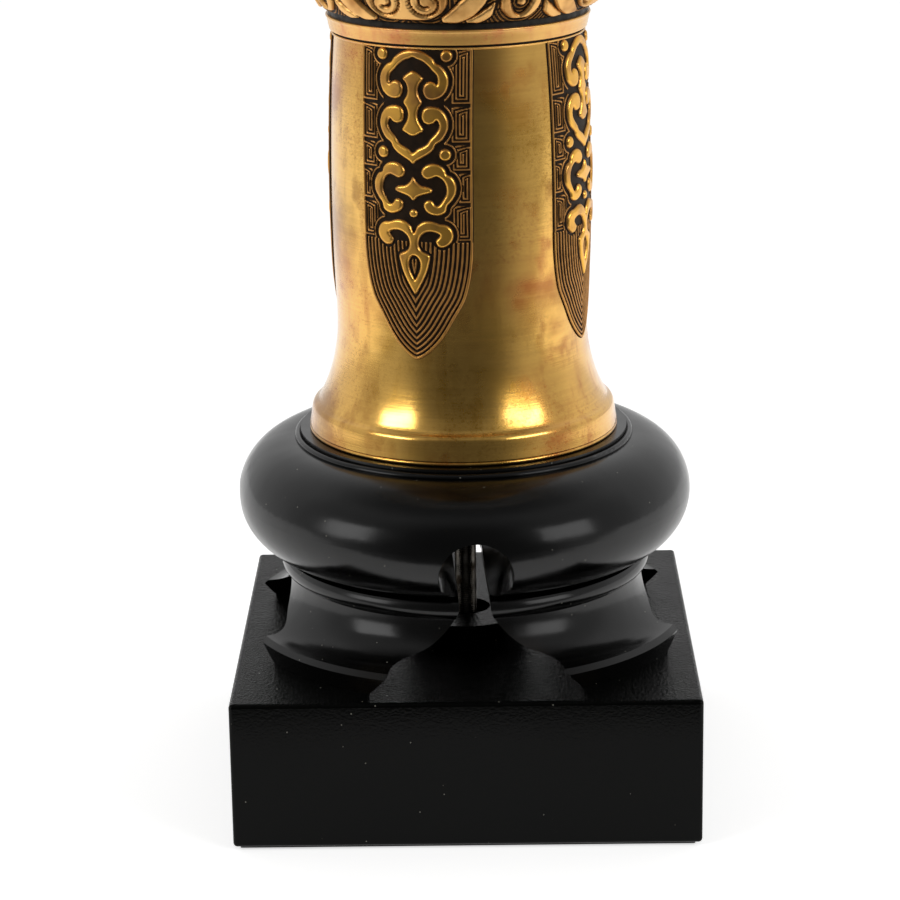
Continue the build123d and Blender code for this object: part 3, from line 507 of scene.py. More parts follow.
# %% Outlines of the ornament
half_outlines = {
    "cloud_head": [
        (0, 0.6), (3.6, 1.1), (6.5, 2.5), (8.7, 4.2), (9.9, 6.0), (11.6, 6.8), (13.9, 9.1), (15.3, 12.2),
        (15.2, 15.3), (14.0, 18.4), (11.6, 20.6), (8.6, 21.5), (6.1, 20.9), (4.6, 18.8), (4.5, 16.2),
        (5.7, 14.3), (7.6, 13.6), (9.4, 14.1), (10.4, 14.9), (10.7, 13.1), (10.2, 11.1), (8.4, 9.2),
        (6.4, 7.1), (4.1, 5.4), (1.8, 4.6), (0, 3.9)],
    "bar": [
        (0, 9.4), (2.5, 10.6), (4.6, 12.7), (3.2, 14.6), (2.4, 16.8), (2.7, 19.6), (4.2, 22.6),
        (2.8, 25.0), (2.1, 27.6), (2.8, 30.6), (4.7, 34.1), (2.9, 35.7), (0, 36.9)],
    "cloud_tail": [
        (0, 48.7), (1.6, 47.4), (4.2, 45.9), (7.2, 44.0), (9.0, 42.2), (10.0, 40.2), (12.4, 38.5),
        (14.2, 36.0), (15.3, 33.0), (15.2, 30.0), (13.9, 27.0), (11.6, 24.9), (8.5, 24.1), (6.2, 24.3),
        (4.5, 25.6), (3.8, 28.3), (4.7, 30.8), (6.8, 31.8), (8.9, 31.3), (10.4, 30.0), (11.3, 31.6),
        (11.1, 33.5), (9.8, 35.5), (7.7, 37.7), (6.2, 39.9), (4.1, 41.2), (2.1, 42.2), (0, 43.8)],
    "diamond": [
        (0, 54.1), (1.6, 56.2), (3.6, 57.7), (6.6, 58.2), (8.2, 59.2), (7.9, 60.6), (4.0, 61.9),
        (1.8, 62.8), (0, 64.4)],
    "anchor": [
        (0, 78.0), (1.5, 75.1), (4.5, 73.0), (7.9, 72.8), (11.2, 73.9), (14.3, 74.4), (16.5, 76.4),
        (17.1, 79.4), (15.8, 82.3), (13.1, 84.2), (10.6, 83.8), (9.4, 81.5), (10.6, 80.0), (11.2, 78.7),
        (9.0, 77.7), (5.9, 77.7), (3.3, 79.3), (2.2, 81.5), (2.2, 83.8), (3.4, 85.9), (6.9, 87.9),
        (6.4, 91.5), (5.3, 95.3), (3.6, 99.1), (1.6, 102.9), (0, 105.2)],
    "drop": [(0, 88.2), (1.7, 89.2), (2.5, 91.4), (2.1, 94.2), (1.0, 96.8), (0, 98.3)],
}
side_scroll = [
    (3.6, 51.6), (5.5, 49.0), (8.7, 48.1), (11.9, 48.9), (13.9, 50.8), (14.6, 52.7), (16.8, 53.8),
    (18.5, 57.1), (18.3, 61.0), (16.5, 64.1), (14.7, 66.2), (13.8, 69.0), (10.6, 70.5), (7.2, 69.8),
    (5.0, 67.9), (4.6, 65.4), (6.2, 63.8), (8.2, 64.0), (9.5, 65.8), (11.2, 65.8), (13.1, 63.2),
    (14.3, 60.4), (14.0, 57.3), (12.6, 55.0), (10.3, 53.8), (8.2, 54.5), (6.4, 55.0), (4.4, 54.0)]
round_studs = [(14.3, 3.1, 2.6), (13.9, 44.4, 2.6), (0.0, 69.8, 1.9)]
fret_cells = [
    (20.7, 11.6, 4.1, 11.4), (20.7, 31.9, 4.1, 7.4), (20.9, 46.0, 3.9, 5.2), (22.2, 58.8, 2.7, 6.2),
    (20.9, 73.9, 3.9, 7.4)]


def whole(half):
    """Both halves of an outline that lies across the blade's middle line."""
    return np.vstack([half, [(-across, down) for across, down in half[::-1] if across]])


def away(outline, across, down):
    """How far points lie outside a closed outline, negative inside it."""
    nearest = np.full(across.shape, 1e6)
    inside = np.zeros(across.shape, bool)
    for (start_x, start_y), (end_x, end_y) in zip(outline, np.roll(outline, -1, axis=0)):
        run, rise = end_x - start_x, end_y - start_y
        length = run * run + rise * rise
        if length < 1e-12:
            continue
        share = np.clip(((across - start_x) * run + (down - start_y) * rise) / length, 0, 1)
        gap = (across - start_x - share * run) ** 2 + (down - start_y - share * rise) ** 2
        nearest = np.minimum(nearest, gap)
        if rise:
            spans = (start_y > down) != (end_y > down)
            inside ^= spans & (across < start_x + (down - start_y) / rise * run)
    return np.where(inside, -1.0, 1.0) * np.sqrt(nearest)


def smooth(value):
    value = np.clip(value, 0, 1)
    return value * value * (3 - 2 * value)


def shoulder(distance, width):
    """Nought outside, one well inside, with a quarter-round between."""
    share = np.clip(-distance / width, 0, 1)
    return np.sqrt(1 - (1 - share) ** 2)


print("outlines:", len(half_outlines) + 1, "studs:", len(round_studs))

# %% [markdown]
# The ground has three patterns. Along the sides it is a column of square spirals: the distance in
# from a cell's border, with one turn's pitch added along its top side, is a spiral when it is drawn
# as ridges. Where the scrolls reach out to them, the ridges echo the scrolls. Below, they follow the
# blade's own outline, which brings them to a V.

# %% The blade's height at a point
ground, ridge_height, motif_height, border_height = 0.10, 0.72, 1.45, 0.86
line_pitch, fret_pitch = 1.95, 1.45
fret_end = 82.0
cell_margin, echo_start, echo_width = 0.4, 13.5, 2.7
border_start, border_width, motif_shoulder = 0.4, 1.45, 1.3


def ridges(distance, pitch=line_pitch):
    """Narrow rounded ridges, one at each whole pitch."""
    off = np.abs(distance / pitch - np.round(distance / pitch))
    return smooth((0.34 - off) / 0.22)


def square_spiral(x, y, half_width, half_height):
    inset = np.minimum(half_width - np.abs(x), half_height - np.abs(y))
    on_top = (half_height - np.abs(y) < half_width - np.abs(x)) & (y < 0)
    reach = np.maximum(half_width - inset, 0.1)
    turn = np.where(on_top, np.clip((x + reach) / (2 * reach), 0, 1), 0)
    return ridges(inset - 0.45 + fret_pitch * turn, fret_pitch)


def motif_distance(across, down):
    across = np.abs(across)
    shapes = {
        name: away(through(whole(half), 4, True), across, down) for name, half in half_outlines.items()}
    anchor = np.maximum(shapes.pop("anchor"), -shapes.pop("drop"))
    found = [anchor, *shapes.values(), away(through(side_scroll, 4, True), across, down)]
    found += [np.hypot(across - x, down - y) - radius for x, y, radius in round_studs]
    return np.minimum.reduce(found)


def blade_height(across, down, edge):
    """Height above the column in millimetres; edge is the distance in from the blade's outline."""
    motif = motif_distance(across, down)
    spirals, in_cell = np.zeros(across.shape), np.zeros(across.shape, bool)
    for x, y, half_width, half_height in fret_cells:
        local_x, local_y = np.abs(across) - x, down - y
        here = (np.abs(local_x) < half_width + cell_margin) & (np.abs(local_y) < half_height + cell_margin)
        spirals = np.where(here, square_spiral(local_x, local_y, half_width, half_height), spirals)
        in_cell |= here
    echo = ridges(motif - 0.5, fret_pitch) * smooth((motif - 1.1) / 0.3) * (np.abs(across) > echo_start)
    frets = np.where(motif > echo_width, spirals * in_cell, echo)
    streams = ridges(edge - 0.55) * smooth((motif - 0.8) / 0.4)
    lines = np.where(down < fret_end, frets, streams)
    border = smooth((border_width - edge) / 0.35) * smooth((edge - border_start) / 0.3)
    height = ground + np.maximum((ridge_height - ground) * lines, (border_height - ground) * border)
    return np.maximum(height, ground + (motif_height - ground) * shoulder(motif, motif_shoulder))


print("line pitch", line_pitch, "mm")

# %% [markdown]
# ## Laying a blade on the brass
# The grid's rows run down the blade and its columns fan out to the blade's own edge, so the edge is
# clean and the grid closes up at the point. Each grid point is lifted off the column by the height
# field. A coarse back closes the mesh inside the wall, and the height is kept as the attribute that
# the patinated finish reads.

# %% The blade maker
blade_back, back_steps = 0.6, 9
narrowest, past_root = 0.25, -40.0


def blade_mesh(
        name, azimuth, top, direction, length, width_line, radius_at, step, finish, field_scale=1.0,
        **facts):
    """One blade from its root at a level, downwards for -1 or upwards for 1, round to an azimuth."""
    rows = np.linspace(0, length, int(length / step) + 1)
    columns = np.linspace(-1, 1, int(2 * max(width_line[:, 0]) / step) | 1)
    level = top + direction * rows
    radius = radius_at(level)
    half_width = np.maximum(np.interp(rows, width_line[:, 1], width_line[:, 0]), narrowest)
    spread = np.arcsin(half_width / radius)
    angle = spread[:, None] * columns
    across = angle * radius[:, None]
    down = np.repeat(rows[:, None], len(columns), 1)
    edge_line = np.stack([spread * radius, rows], -1)
    edge_outline = np.vstack([(edge_line[0, 0], past_root), edge_line[::4], (0, length)])
    edge_outline = np.vstack([edge_outline, edge_outline[-2::-1] * (-1, 1)])
    edge = -away(edge_outline, np.abs(across), down)
    height = blade_height(across / field_scale, down / field_scale, np.maximum(edge, 0))
    front = around_axis(radius[:, None] + height, level[:, None], azimuth + angle)
    back_angle = azimuth + spread[:, None] * np.linspace(-1, 1, back_steps)
    back = around_axis(radius[:, None] - blade_back, level[:, None], back_angle)
    points = np.vstack([front.reshape(-1, 3), back.reshape(-1, 3)])
    wide, deep, rear = len(columns), len(rows), back_steps
    start = wide * deep
    faces = quads(deep, wide)
    faces += [(first, fourth, third, second) for first, second, third, fourth in quads(deep, rear, start)]
    for low, high in zip(range(deep - 1), range(1, deep)):
        faces.append((low * wide, high * wide, start + high * rear, start + low * rear))
        faces.append((high * wide + wide - 1, low * wide + wide - 1,
                      start + low * rear + rear - 1, start + high * rear + rear - 1))
    for row in (0, deep - 1):
        ends = [row * wide + column for column in range(wide)]
        ends += [start + row * rear + column for column in reversed(range(rear))]
        faces.append(ends if row else ends[::-1])
    relief = np.concatenate([height.ravel(), np.zeros(rear * deep)])
    return make_piece(name, points, faces, finish, relief=relief, sharp=80, **facts)


blade_azimuths = [math.radians(-20 + 90 * number) for number in range(4)]
blade_length = 134.0
blade_width = through([
    (24.8, 0), (24.8, 20), (24.8, 40), (24.8, 60), (24.7, 78), (23.9, 93), (21.3, 106), (16.5, 115.5),
    (11.6, 124), (6.9, 129.6), (2.6, 133.0), (0, blade_length)], 10)
blade_step = 0.33
for number, azimuth in enumerate(blade_azimuths, 1):
    blade_mesh(
        "blade_" + str(number), azimuth, shaft_top, -1, blade_length, blade_width, column_radius,
        blade_step, blade_brass, stands_for=["lower_column"], slot="relief_brass")

# %% [markdown]
# ## The knop
# The knop between the two brass sections is cast: clouds with curled ends stand on a ground of fine
# spirals, four times round. The same distance method is used on a grid that goes all the way round.
# The clouds are outlines, the leaves are lines with a width that changes, and the ground's rings are
# drawn round whichever of a few centres is nearest.

# %% The knop's height at a point
knop_bottom, knop_height, knop_end, knop_belly, knop_wall = 350.5, 86.0, 57.2, 70.0, 3.0
knop_rise = knop_belly - knop_end
knop_curve = (knop_rise ** 2 + (knop_height / 2) ** 2) / (2 * knop_rise)
knop_reach = math.asin(knop_height / 2 / knop_curve)
knop_length = 2 * knop_curve * knop_reach
unit_width = 64.0 * math.pi / 2

cloud_half = [
    (0, 3.0), (5.0, 2.9), (9.5, 3.3), (13.5, 4.9), (16.8, 7.8), (18.4, 11.6), (17.8, 15.6), (15.0, 18.6),
    (11.5, 19.9), (9.6, 21.8), (8.0, 25.2), (5.4, 28.4), (2.4, 30.8), (0, 33.0)]
leaf_lines = [
    ([(17.0, 3.4), (22.0, 5.2), (26.5, 8.6), (30.5, 13.2), (33.5, 19.0), (35.0, 26.0)],
     [1.6, 3.6, 4.6, 4.4, 3.0, 0.5]),
    ([(27.0, 2.6), (31.5, 3.6), (35.5, 6.2), (38.2, 10.6)], [0.8, 2.2, 2.4, 0.5]),
    ([(50.3, 3.6), (46.4, 5.0), (43.6, 9.0), (43.2, 14.0), (46.0, 18.6)], [0.7, 1.8, 2.4, 2.0, 0.5]),
    ([(50.3, 22.0), (46.0, 24.0), (42.5, 28.5), (41.5, 34.0)], [2.4, 2.6, 2.2, 0.5]),
    ([(9.0, 37.5), (14.0, 33.5), (20.0, 32.6), (25.6, 35.2), (28.6, 40.0), (28.3, 45.5)],
     [0.6, 1.8, 2.6, 2.8, 2.4, 1.6]),
]
leaf_bosses = [(22.6, 43.2, 4.2), (0.0, 46.3, 4.6), (50.3, 46.3, 6.0), (50.3, 11.2, 2.0)]
groove_rings = [(22.6, 43.2, 2.6), (50.3, 46.3, 3.6)]
curl_eye = (9.4, 11.6)
ring_centres = np.array([
    (9.4, 11.4), (50.3, 11.2), (30.0, 21.5), (0.0, 40.0), (22.6, 43.2), (38.5, 43.0), (50.3, 33.0)])
knop_ground, knop_ridge, knop_leaf, groove_depth = 0.25, 0.55, 1.95, 1.5
knop_least = 0.05


def along(line, widths, across, down):
    """How far points lie outside a band that follows a line and changes its width."""
    line = through(line, 6)
    half_widths = np.interp(np.linspace(0, 1, len(line)), np.linspace(0, 1, len(widths)), widths)
    nearest = np.full(across.shape, 1e6)
    for (start, end, wide, wider) in zip(line, line[1:], half_widths, half_widths[1:]):
        run = end - start
        part = np.clip(((across - start[0]) * run[0] + (down - start[1]) * run[1]) / (run @ run), 0, 1)
        gap = np.hypot(across - start[0] - part * run[0], down - start[1] - part * run[1])
        nearest = np.minimum(nearest, gap - wide - (wider - wide) * part)
    return nearest


def curl_groove(across, down):
    """Distance from a spiral groove that winds out of the cloud's eye."""
    turn = np.linspace(-0.6, 2.55, 46) * math.pi
    reach = 1.9 + 0.62 * (turn + 0.6 * math.pi)
    line = np.stack([curl_eye[0] - reach * np.cos(turn), curl_eye[1] + reach * np.sin(turn)], -1)
    return np.hypot(across[..., None] - line[:, 0], down[..., None] - line[:, 1]).min(-1)


def knop_relief(across, down):
    """Height above the knop's round in millimetres, for one quarter and its lower half."""
    across = np.abs(across)
    cloud = away(through(whole(cloud_half), 4, True), across, down)
    found = [along(line, widths, across, down) for line, widths in leaf_lines]
    found += [np.hypot(across - x, down - y) - radius for x, y, radius in leaf_bosses]
    leaves = np.minimum.reduce(found)
    shapes = np.minimum(cloud, leaves)
    rings = np.hypot(across[..., None] - ring_centres[:, 0], down[..., None] - ring_centres[:, 1]).min(-1)
    spirals = ridges(rings, 1.7) * smooth((shapes - 0.5) / 0.4)
    height = knop_ground + knop_ridge * spirals
    height = np.maximum(height, knop_least + knop_leaf * shoulder(shapes, 1.2))
    grooves = [np.abs(np.hypot(across - x, down - y) - radius) for x, y, radius in groove_rings]
    groove = np.minimum.reduce([curl_groove(across, down), *grooves])
    carved = smooth((1.05 - groove) / 0.6) * groove_depth
    return np.maximum(height - carved * (shapes < -0.4), knop_least)


print("knop's arc from end to end:", round(knop_length, 1), "mm")

# %% [markdown]
# The relief is worked out for a quarter of the way round and half of the height, then repeated and
# mirrored. The rows stand closer together near the lower edge, which the picture shows large. A thin
# inner skin closes the casting.

# %% Knop mesh
knop_columns = 150
knop_rows = np.concatenate([np.arange(0, 14, 0.36), np.arange(14, knop_length / 2, 0.72), [knop_length / 2]])
quarter = (np.arange(knop_columns) / knop_columns - 0.5) * unit_width
grid_across, grid_down = np.meshgrid(quarter, knop_rows)
lower_half = knop_relief(grid_across, grid_down)
end_fade = smooth(knop_rows / 1.4)[:, None]
end_dip = 0.5
lower_half = lower_half * end_fade - end_dip * (1 - end_fade)
relief = np.tile(np.vstack([lower_half, lower_half[-2::-1]]), (1, 4))
row_angle = np.concatenate([knop_rows, knop_length - knop_rows[-2::-1]]) / knop_curve - knop_reach
wide = 4 * knop_columns
azimuth = (np.arange(wide) / wide - 0.125) * 2 * math.pi + blade_azimuths[0]
knop_middle = knop_bottom + knop_height / 2
radius = knop_belly - knop_curve + (knop_curve + relief) * np.cos(row_angle)[:, None]
level = knop_middle + (knop_curve + relief) * np.sin(row_angle)[:, None]
level = np.clip(level, knop_bottom, knop_bottom + knop_height)
outer_points = around_axis(radius, level, azimuth[None, :])
inner_angle = np.linspace(row_angle[-1], row_angle[0], 9)
inner_radius = knop_belly - knop_curve + (knop_curve - knop_wall) * np.cos(inner_angle)[:, None]
inner_level = knop_middle + knop_curve * np.sin(inner_angle)[:, None] + 0 * azimuth[None, :]
inner_points = around_axis(inner_radius, inner_level, azimuth[None, :])
knop_points = np.vstack([outer_points.reshape(-1, 3), inner_points.reshape(-1, 3)])
knop_faces = quads(len(row_angle) + len(inner_angle), wide, around=True, over=True)
knop_values = np.concatenate([relief.ravel(), np.zeros(inner_points.size // 3)])
make_piece(
    "knop_casting", knop_points, knop_faces, knop_brass, stands_for=["knop"], slot="relief_brass",
    sharp=80, relief=knop_values)

# %% [markdown]
# ## The trumpet
# Above the knop the second brass section narrows to a waist and flares out to a wide lip, with four
# leaves standing on its collar. It is turned like the column, and its leaves are the column's blades
# made again with the root at the bottom, a little slimmer and longer.

# %% Trumpet body and leaves
trumpet_bottom, trumpet_height, trumpet_wall = 439.0, 196.0, 2.5
trumpet_top = trumpet_bottom + trumpet_height
trumpet_line = through([
    (54.15, 447.2), (53.05, 450.0), (51.5, 456.0), (50.5, 462.0), (49.8, 470.0), (49.5, 480.0),
    (49.5, 492.0), (49.75, 510.0), (50.6, 530.0), (52.2, 550.0), (54.6, 568.0), (58.2, 585.0),
    (62.8, 600.0), (68.0, 611.0), (74.2, 621.0), (80.4, 628.3), (84.6, 632.0)], 6)


def trumpet_radius(height):
    return np.interp(height, trumpet_line[:, 1], trumpet_line[:, 0])


trumpet_outline = [
    (collar_bore, trumpet_bottom), *bead(56.6, trumpet_bottom + 0.65, 0.65, -90, 50, 8),
    *[(radius, trumpet_bottom + drop) for radius, drop in collar_steps[::-1]],
    *bead(54.3, trumpet_bottom + 8.0, 0.5, -70, 60, 7), *trumpet_line[2:], (86.4, trumpet_top - 2.9),
    *bead(87.2, trumpet_top - 1.5, 0.8, -80, 80, 9), (86.2, trumpet_top), (84.2, trumpet_top),
    *[(radius - trumpet_wall, height + 1.0) for radius, height in trumpet_line[::-5]],
    (collar_bore, trumpet_bottom + 8.6)]
trumpet_body = turned(
    "trumpet_body", trumpet_outline, column_brass, stands_for=["upper_trumpet"], slot="column_brass",
    sharp=50)
trumpet_crease = (trumpet_bottom + crease_near, trumpet_bottom + crease_far)
mark_collar(trumpet_body, trumpet_bottom - 1, trumpet_bottom + 8.2, trumpet_crease)
leaf_length = 142.0
leaf_width = through([
    (23.0, 0), (23.0, 20), (23.0, 40), (22.7, 60), (21.3, 78), (18.4, 94.5), (15.4, 108), (12.0, 119),
    (7.8, 131), (3.4, 139), (0, leaf_length)], 8)
leaf_step = 0.5
for number, azimuth in enumerate(blade_azimuths, 1):
    blade_mesh(
        "leaf_" + str(number), azimuth, trumpet_bottom + 8.0, 1, leaf_length, leaf_width,
        trumpet_radius, leaf_step, blade_brass, field_scale=0.96, stands_for=["upper_trumpet"],
        slot="relief_brass")

# %% [markdown]
# ## Lacquer, black and brown
# The stand is turned wood under a deep black lacquer, smooth enough to mirror the room, with a brown
# bloom on its feet and a little dust. The plinth is black too, with a fine grain that catches light
# at a low angle on top and hardly shows on its upright sides. Both finishes keep their own colour
# nearly black, because what is seen on them is reflection: the roughness and the bump do the work.

# %% Lacquer finishes
def add_dust(finish, colour, amount):
    """Scattered specks of dust."""
    speck = finish.node("TexVoronoi", finish.place, Scale=210.0)
    small = finish.between(speck.outputs["Distance"], 0.045, 0.075, 1.0, 0.0)
    some = finish.between(finish.split(speck.outputs["Color"])[0], 0.99 - amount, 1.0 - amount)
    share = finish.maths("MULTIPLY", finish.maths("MULTIPLY", small, some), 0.75)
    return finish.mix(share, colour, tone(0.34, 0.33, 0.28))


stand_lacquer = Finish("stand_lacquer", IOR=1.43)
bloom = stand_lacquer.between(stand_lacquer.noise(16.0, 4.0), 0.5, 0.72)
low_down = stand_lacquer.between(stand_lacquer.split()[2], 0.075, 0.1, 1.0, 0.0)
browned = stand_lacquer.maths("MULTIPLY", bloom, low_down)
lacquer_colour = stand_lacquer.mix(browned, tone(0.0009, 0.0010, 0.0009), tone(0.016, 0.0105, 0.0045))
smears = stand_lacquer.noise(1.0, 3.0, stand_lacquer.stretched(34, 34, 70))
stand_lacquer.give(
    Base_Color=add_dust(stand_lacquer, lacquer_colour, 0.4),
    Roughness=stand_lacquer.between(smears, 0.3, 0.75, 0.15, 0.25))
hand_rubbed = stand_lacquer.bump(stand_lacquer.noise(34.0, 2.0), 0.0012, 0.3)
stand_lacquer.bump(stand_lacquer.noise(420.0, 2.0), 0.00004, 0.25, hand_rubbed)

plinth_lacquer = Finish("plinth_lacquer", IOR=1.45)
grain = plinth_lacquer.noise(1000.0, 3.0)
faces_up = plinth_lacquer.split(plinth_lacquer.node("NewGeometry").outputs["Normal"])[2]
grain_strength = plinth_lacquer.between(faces_up, 0.3, 0.8, 0.07, 1.0)
cloudy = plinth_lacquer.noise(18.0, 4.0)
plinth_colour = plinth_lacquer.mix(cloudy, tone(0.0008, 0.0010, 0.0008), tone(0.0018, 0.0021, 0.0017))
plinth_lacquer.give(
    Base_Color=add_dust(plinth_lacquer, plinth_colour, 0.3),
    Roughness=plinth_lacquer.between(cloudy, 0.3, 0.7, 0.08, 0.14))
plinth_lacquer.give(Specular_IOR_Level=plinth_lacquer.between(faces_up, 0.3, 0.8, 0.11, 0.065))
plinth_lacquer.bump(grain, 0.0008, grain_strength)
nodes["stand"].data.materials[0] = stand_lacquer.material
nodes["plinth"].data.materials[0] = plinth_lacquer.material
print("stand and plinth lacquered")

# %% [markdown]
# ## The rod's thread
# Through the keyholes the lamp pipe shows its thread up to the stand's eye. A thread is a small ridge
# that follows a helix, which Geometry Nodes can state directly: a spiral curve, a three-cornered
# profile swept along it, and a finish. The pitch is that of ordinary lamp pipe, 27 turns to the inch.

# %% Geometry Nodes helper
def grow(name, build, finish, **sizes):
    """A mesh from a node tree: build adds the nodes and returns the geometry; sizes are its inputs."""
    tree = bpy.data.node_groups.new(name, "GeometryNodeTree")
    tree.interface.new_socket("Geometry", in_out="OUTPUT", socket_type="NodeSocketGeometry")
    keys = {}
    for label, value in sizes.items():
        kind = "NodeSocketInt" if isinstance(value, int) else "NodeSocketFloat"
        keys[label] = tree.interface.new_socket(label, in_out="INPUT", socket_type=kind).identifier
    entry = tree.nodes.new("NodeGroupInput")

    def add(kind, *values, put=None, **named):
        return add_node(tree, kind, *values, put=put, **named)

    shape = build(add, {label: entry.outputs[label] for label in sizes})
    real = add("GeometryNodeRealizeInstances", shape).outputs[0]
    coated = add("GeometryNodeSetMaterial", real, Material=finish.material).outputs[0]
    tree.links.new(coated, tree.nodes.new("NodeGroupOutput").inputs[0])
    blank = in_scene(name + "_blank", bpy.data.meshes.new(name + "_blank"))
    modifier = blank.modifiers.new(name, "NODES")
    modifier.node_group = tree
    for label, value in sizes.items():
        modifier[keys[label]] = value
    grown = blank.evaluated_get(bpy.context.evaluated_depsgraph_get())
    mesh = bpy.data.meshes.new_from_object(grown)
    bpy.data.objects.remove(blank)
    mesh.name = name
    made = in_scene(name, mesh)
    print(name, "grew", len(mesh.polygons), "faces")
    return made


print("Geometry Nodes helper ready")

# %% [markdown]
# The pipe and its thread are the same worn steel, with patches of rust.

# %% Thread
steel = Finish("worn_steel", Metallic=1.0)
rust = steel.between(steel.noise(180.0, 4.0), 0.45, 0.75)
steel.give(
    Base_Color=steel.mix(rust, tone(0.26, 0.24, 0.21), tone(0.08, 0.055, 0.035)),
    Roughness=steel.between(rust, 0.0, 1.0, 0.3, 0.55))
steel.bump(steel.noise(900.0, 3.0), 0.00004, 0.5)


def thread(add, size):
    spiral = add(
        "GeometryNodeCurveSpiral", Resolution=20, Rotations=size["turns"], Start_Radius=size["radius"],
        End_Radius=size["radius"], Height=size["length"])
    profile = add("GeometryNodeCurvePrimitiveCircle", Resolution=3, Radius=size["ridge"])
    swept = add("GeometryNodeCurveToMesh", spiral.outputs[0], profile.outputs[0], Fill_Caps=True)
    lift = add("ShaderNodeCombineXYZ", 0.0, 0.0, size["start"]).outputs[0]
    return add("GeometryNodeTransform", swept.outputs[0], Translation=lift).outputs[0]


thread_pitch = 25.4 / 27 * mm
thread_start, thread_end = 66 * mm, 120 * mm
rod_thread = grow(
    "rod_thread", thread, steel, turns=(thread_end - thread_start) / thread_pitch, radius=4.72 * mm,
    length=thread_end - thread_start, ridge=0.36 * mm, start=thread_start)
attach(rod_thread, "root")

# %% [markdown]
# ## The shade
# A drum shade is linen laminated to a stiff white lining and stretched round two wire hoops, with a
# folded tape glued round each edge. The cloth is a plain sleeve that leans in towards the top, and
# what makes it linen is the weave: threads that vary in thickness, with slubs. A grid bent into a
# sleeve by Geometry Nodes keeps its own flat coordinates, and those carry the weave round the shade.

# %% Sleeve of cloth
shade_bottom, shade_height = 649.7 * mm, 304.0 * mm
low_radius, high_radius = 215.9 * mm, 190.5 * mm


def sleeve(add, size):
    """A closed thin sleeve: a flat strip of four sides, bent round, that keeps its flat place."""
    def work(operation, *values):
        return add("ShaderNodeMath", *values, put={"operation": operation}).outputs[0]

    def box_wave(value):
        """A rounded box wave between nought and one."""
        return work("MULTIPLY_ADD", work("TANH", work("MULTIPLY", value, size["squareness"])), 0.5, 0.5)

    grid = add("GeometryNodeMeshGrid", 1.0, 1.0, size["around"], size["rows"])
    place = add("GeometryNodeInputPosition").outputs[0]
    along, across = add("ShaderNodeSeparateXYZ", place).outputs[:2]
    turn = work("MULTIPLY", along, 2 * math.pi)
    section = work("MULTIPLY", work("ADD", across, 0.5), 2 * math.pi)
    up_share = box_wave(work("MULTIPLY", work("COSINE", section), -1.0))
    out_share = box_wave(work("SINE", section))
    ripple = work("MULTIPLY", add("ShaderNodeTexNoise", place, Scale=9.0).outputs[0], size["ripple"])
    wall = work("MULTIPLY", work("ADD", size["wall"], ripple), out_share)
    lean = work("SUBTRACT", size["high"], size["low"])
    radius = work("ADD", work("MULTIPLY_ADD", up_share, lean, size["low"]), wall)
    level = work("MULTIPLY_ADD", up_share, size["height"], size["bottom"])
    x, y = (work("MULTIPLY", radius, work(side, turn)) for side in ("SINE", "COSINE"))
    bent = add("ShaderNodeCombineXYZ", x, y, level).outputs[0]
    flat_x, flat_y = work("MULTIPLY", turn, size["low"]), work("MULTIPLY", up_share, size["height"])
    flat = add("ShaderNodeCombineXYZ", flat_x, flat_y, 0.0).outputs[0]
    named = add(
        "GeometryNodeStoreNamedAttribute", grid.outputs[0], Name="weave", Value=flat,
        put={"data_type": "FLOAT_VECTOR", "domain": "POINT"}).outputs[0]
    placed = add("GeometryNodeSetPosition", named, Position=bent).outputs[0]
    return add("GeometryNodeMergeByDistance", placed, Distance=0.00002).outputs[0]


def linen(name, light, dark, thread_width):
    """Plain weave with slubs, laid by the sleeve's flat coordinates."""
    finish = Finish(name, Roughness=0.85, Sheen_Weight=0.25, Sheen_Roughness=0.4)
    flat = finish.node("Attribute", put={"attribute_name": "weave"}).outputs["Vector"]
    wave_turn = 6.283
    warp, weft = (
        finish.node(
            "TexWave", flat, Scale=1 / thread_width / wave_turn, Distortion=1.2, Detail=2.0,
            Detail_Scale=2.0, put={"bands_direction": direction}).outputs[1]
        for direction in "XY")
    across = finish.noise(1.0, 3.0, finish.stretched(26, 700, 1, place=flat))
    upright = finish.noise(1.0, 3.0, finish.stretched(700, 26, 1, place=flat))
    slubs = finish.between(finish.maths("MAXIMUM", across, upright), 0.5, 0.75)
    raised = finish.maths("MULTIPLY", slubs, 0.5)
    finish.give(Base_Color=finish.mix(slubs, light, dark))
    finish.bump(finish.maths("MULTIPLY_ADD", finish.maths("MAXIMUM", warp, weft), 0.6, raised), 0.00025, 0.6)
    return finish


shade_linen = linen("shade_linen", tone(0.87, 0.82, 0.71), tone(0.74, 0.66, 0.52), 0.0006)
tape_linen = linen("tape_linen", tone(0.80, 0.73, 0.60), tone(0.70, 0.62, 0.48), 0.0004)
around_count = 288
cloth = grow(
    "shade_cloth", sleeve, shade_linen, around=around_count, rows=65, low=low_radius, high=high_radius,
    bottom=shade_bottom, height=shade_height, wall=0.8 * mm, squareness=5.0, ripple=0.15 * mm)


def sleeve_radius(level):
    return low_radius + (high_radius - low_radius) * (level - shade_bottom) / shade_height


tape_width, tape_lift = 11.0 * mm, 0.75 * mm
tape_rows = [
    ("tape_bottom", "shade_bottom_tape", shade_bottom),
    ("tape_top", "shade_top_tape", shade_bottom + shade_height - tape_width)]
tapes = []
for tape_name, _, bottom in tape_rows:
    tapes.append(grow(
        tape_name, sleeve, tape_linen, around=around_count, rows=33, low=sleeve_radius(bottom) + tape_lift,
        high=sleeve_radius(bottom + tape_width) + tape_lift, bottom=bottom, height=tape_width,
        wall=0.6 * mm, squareness=3.0, ripple=0.2 * mm))
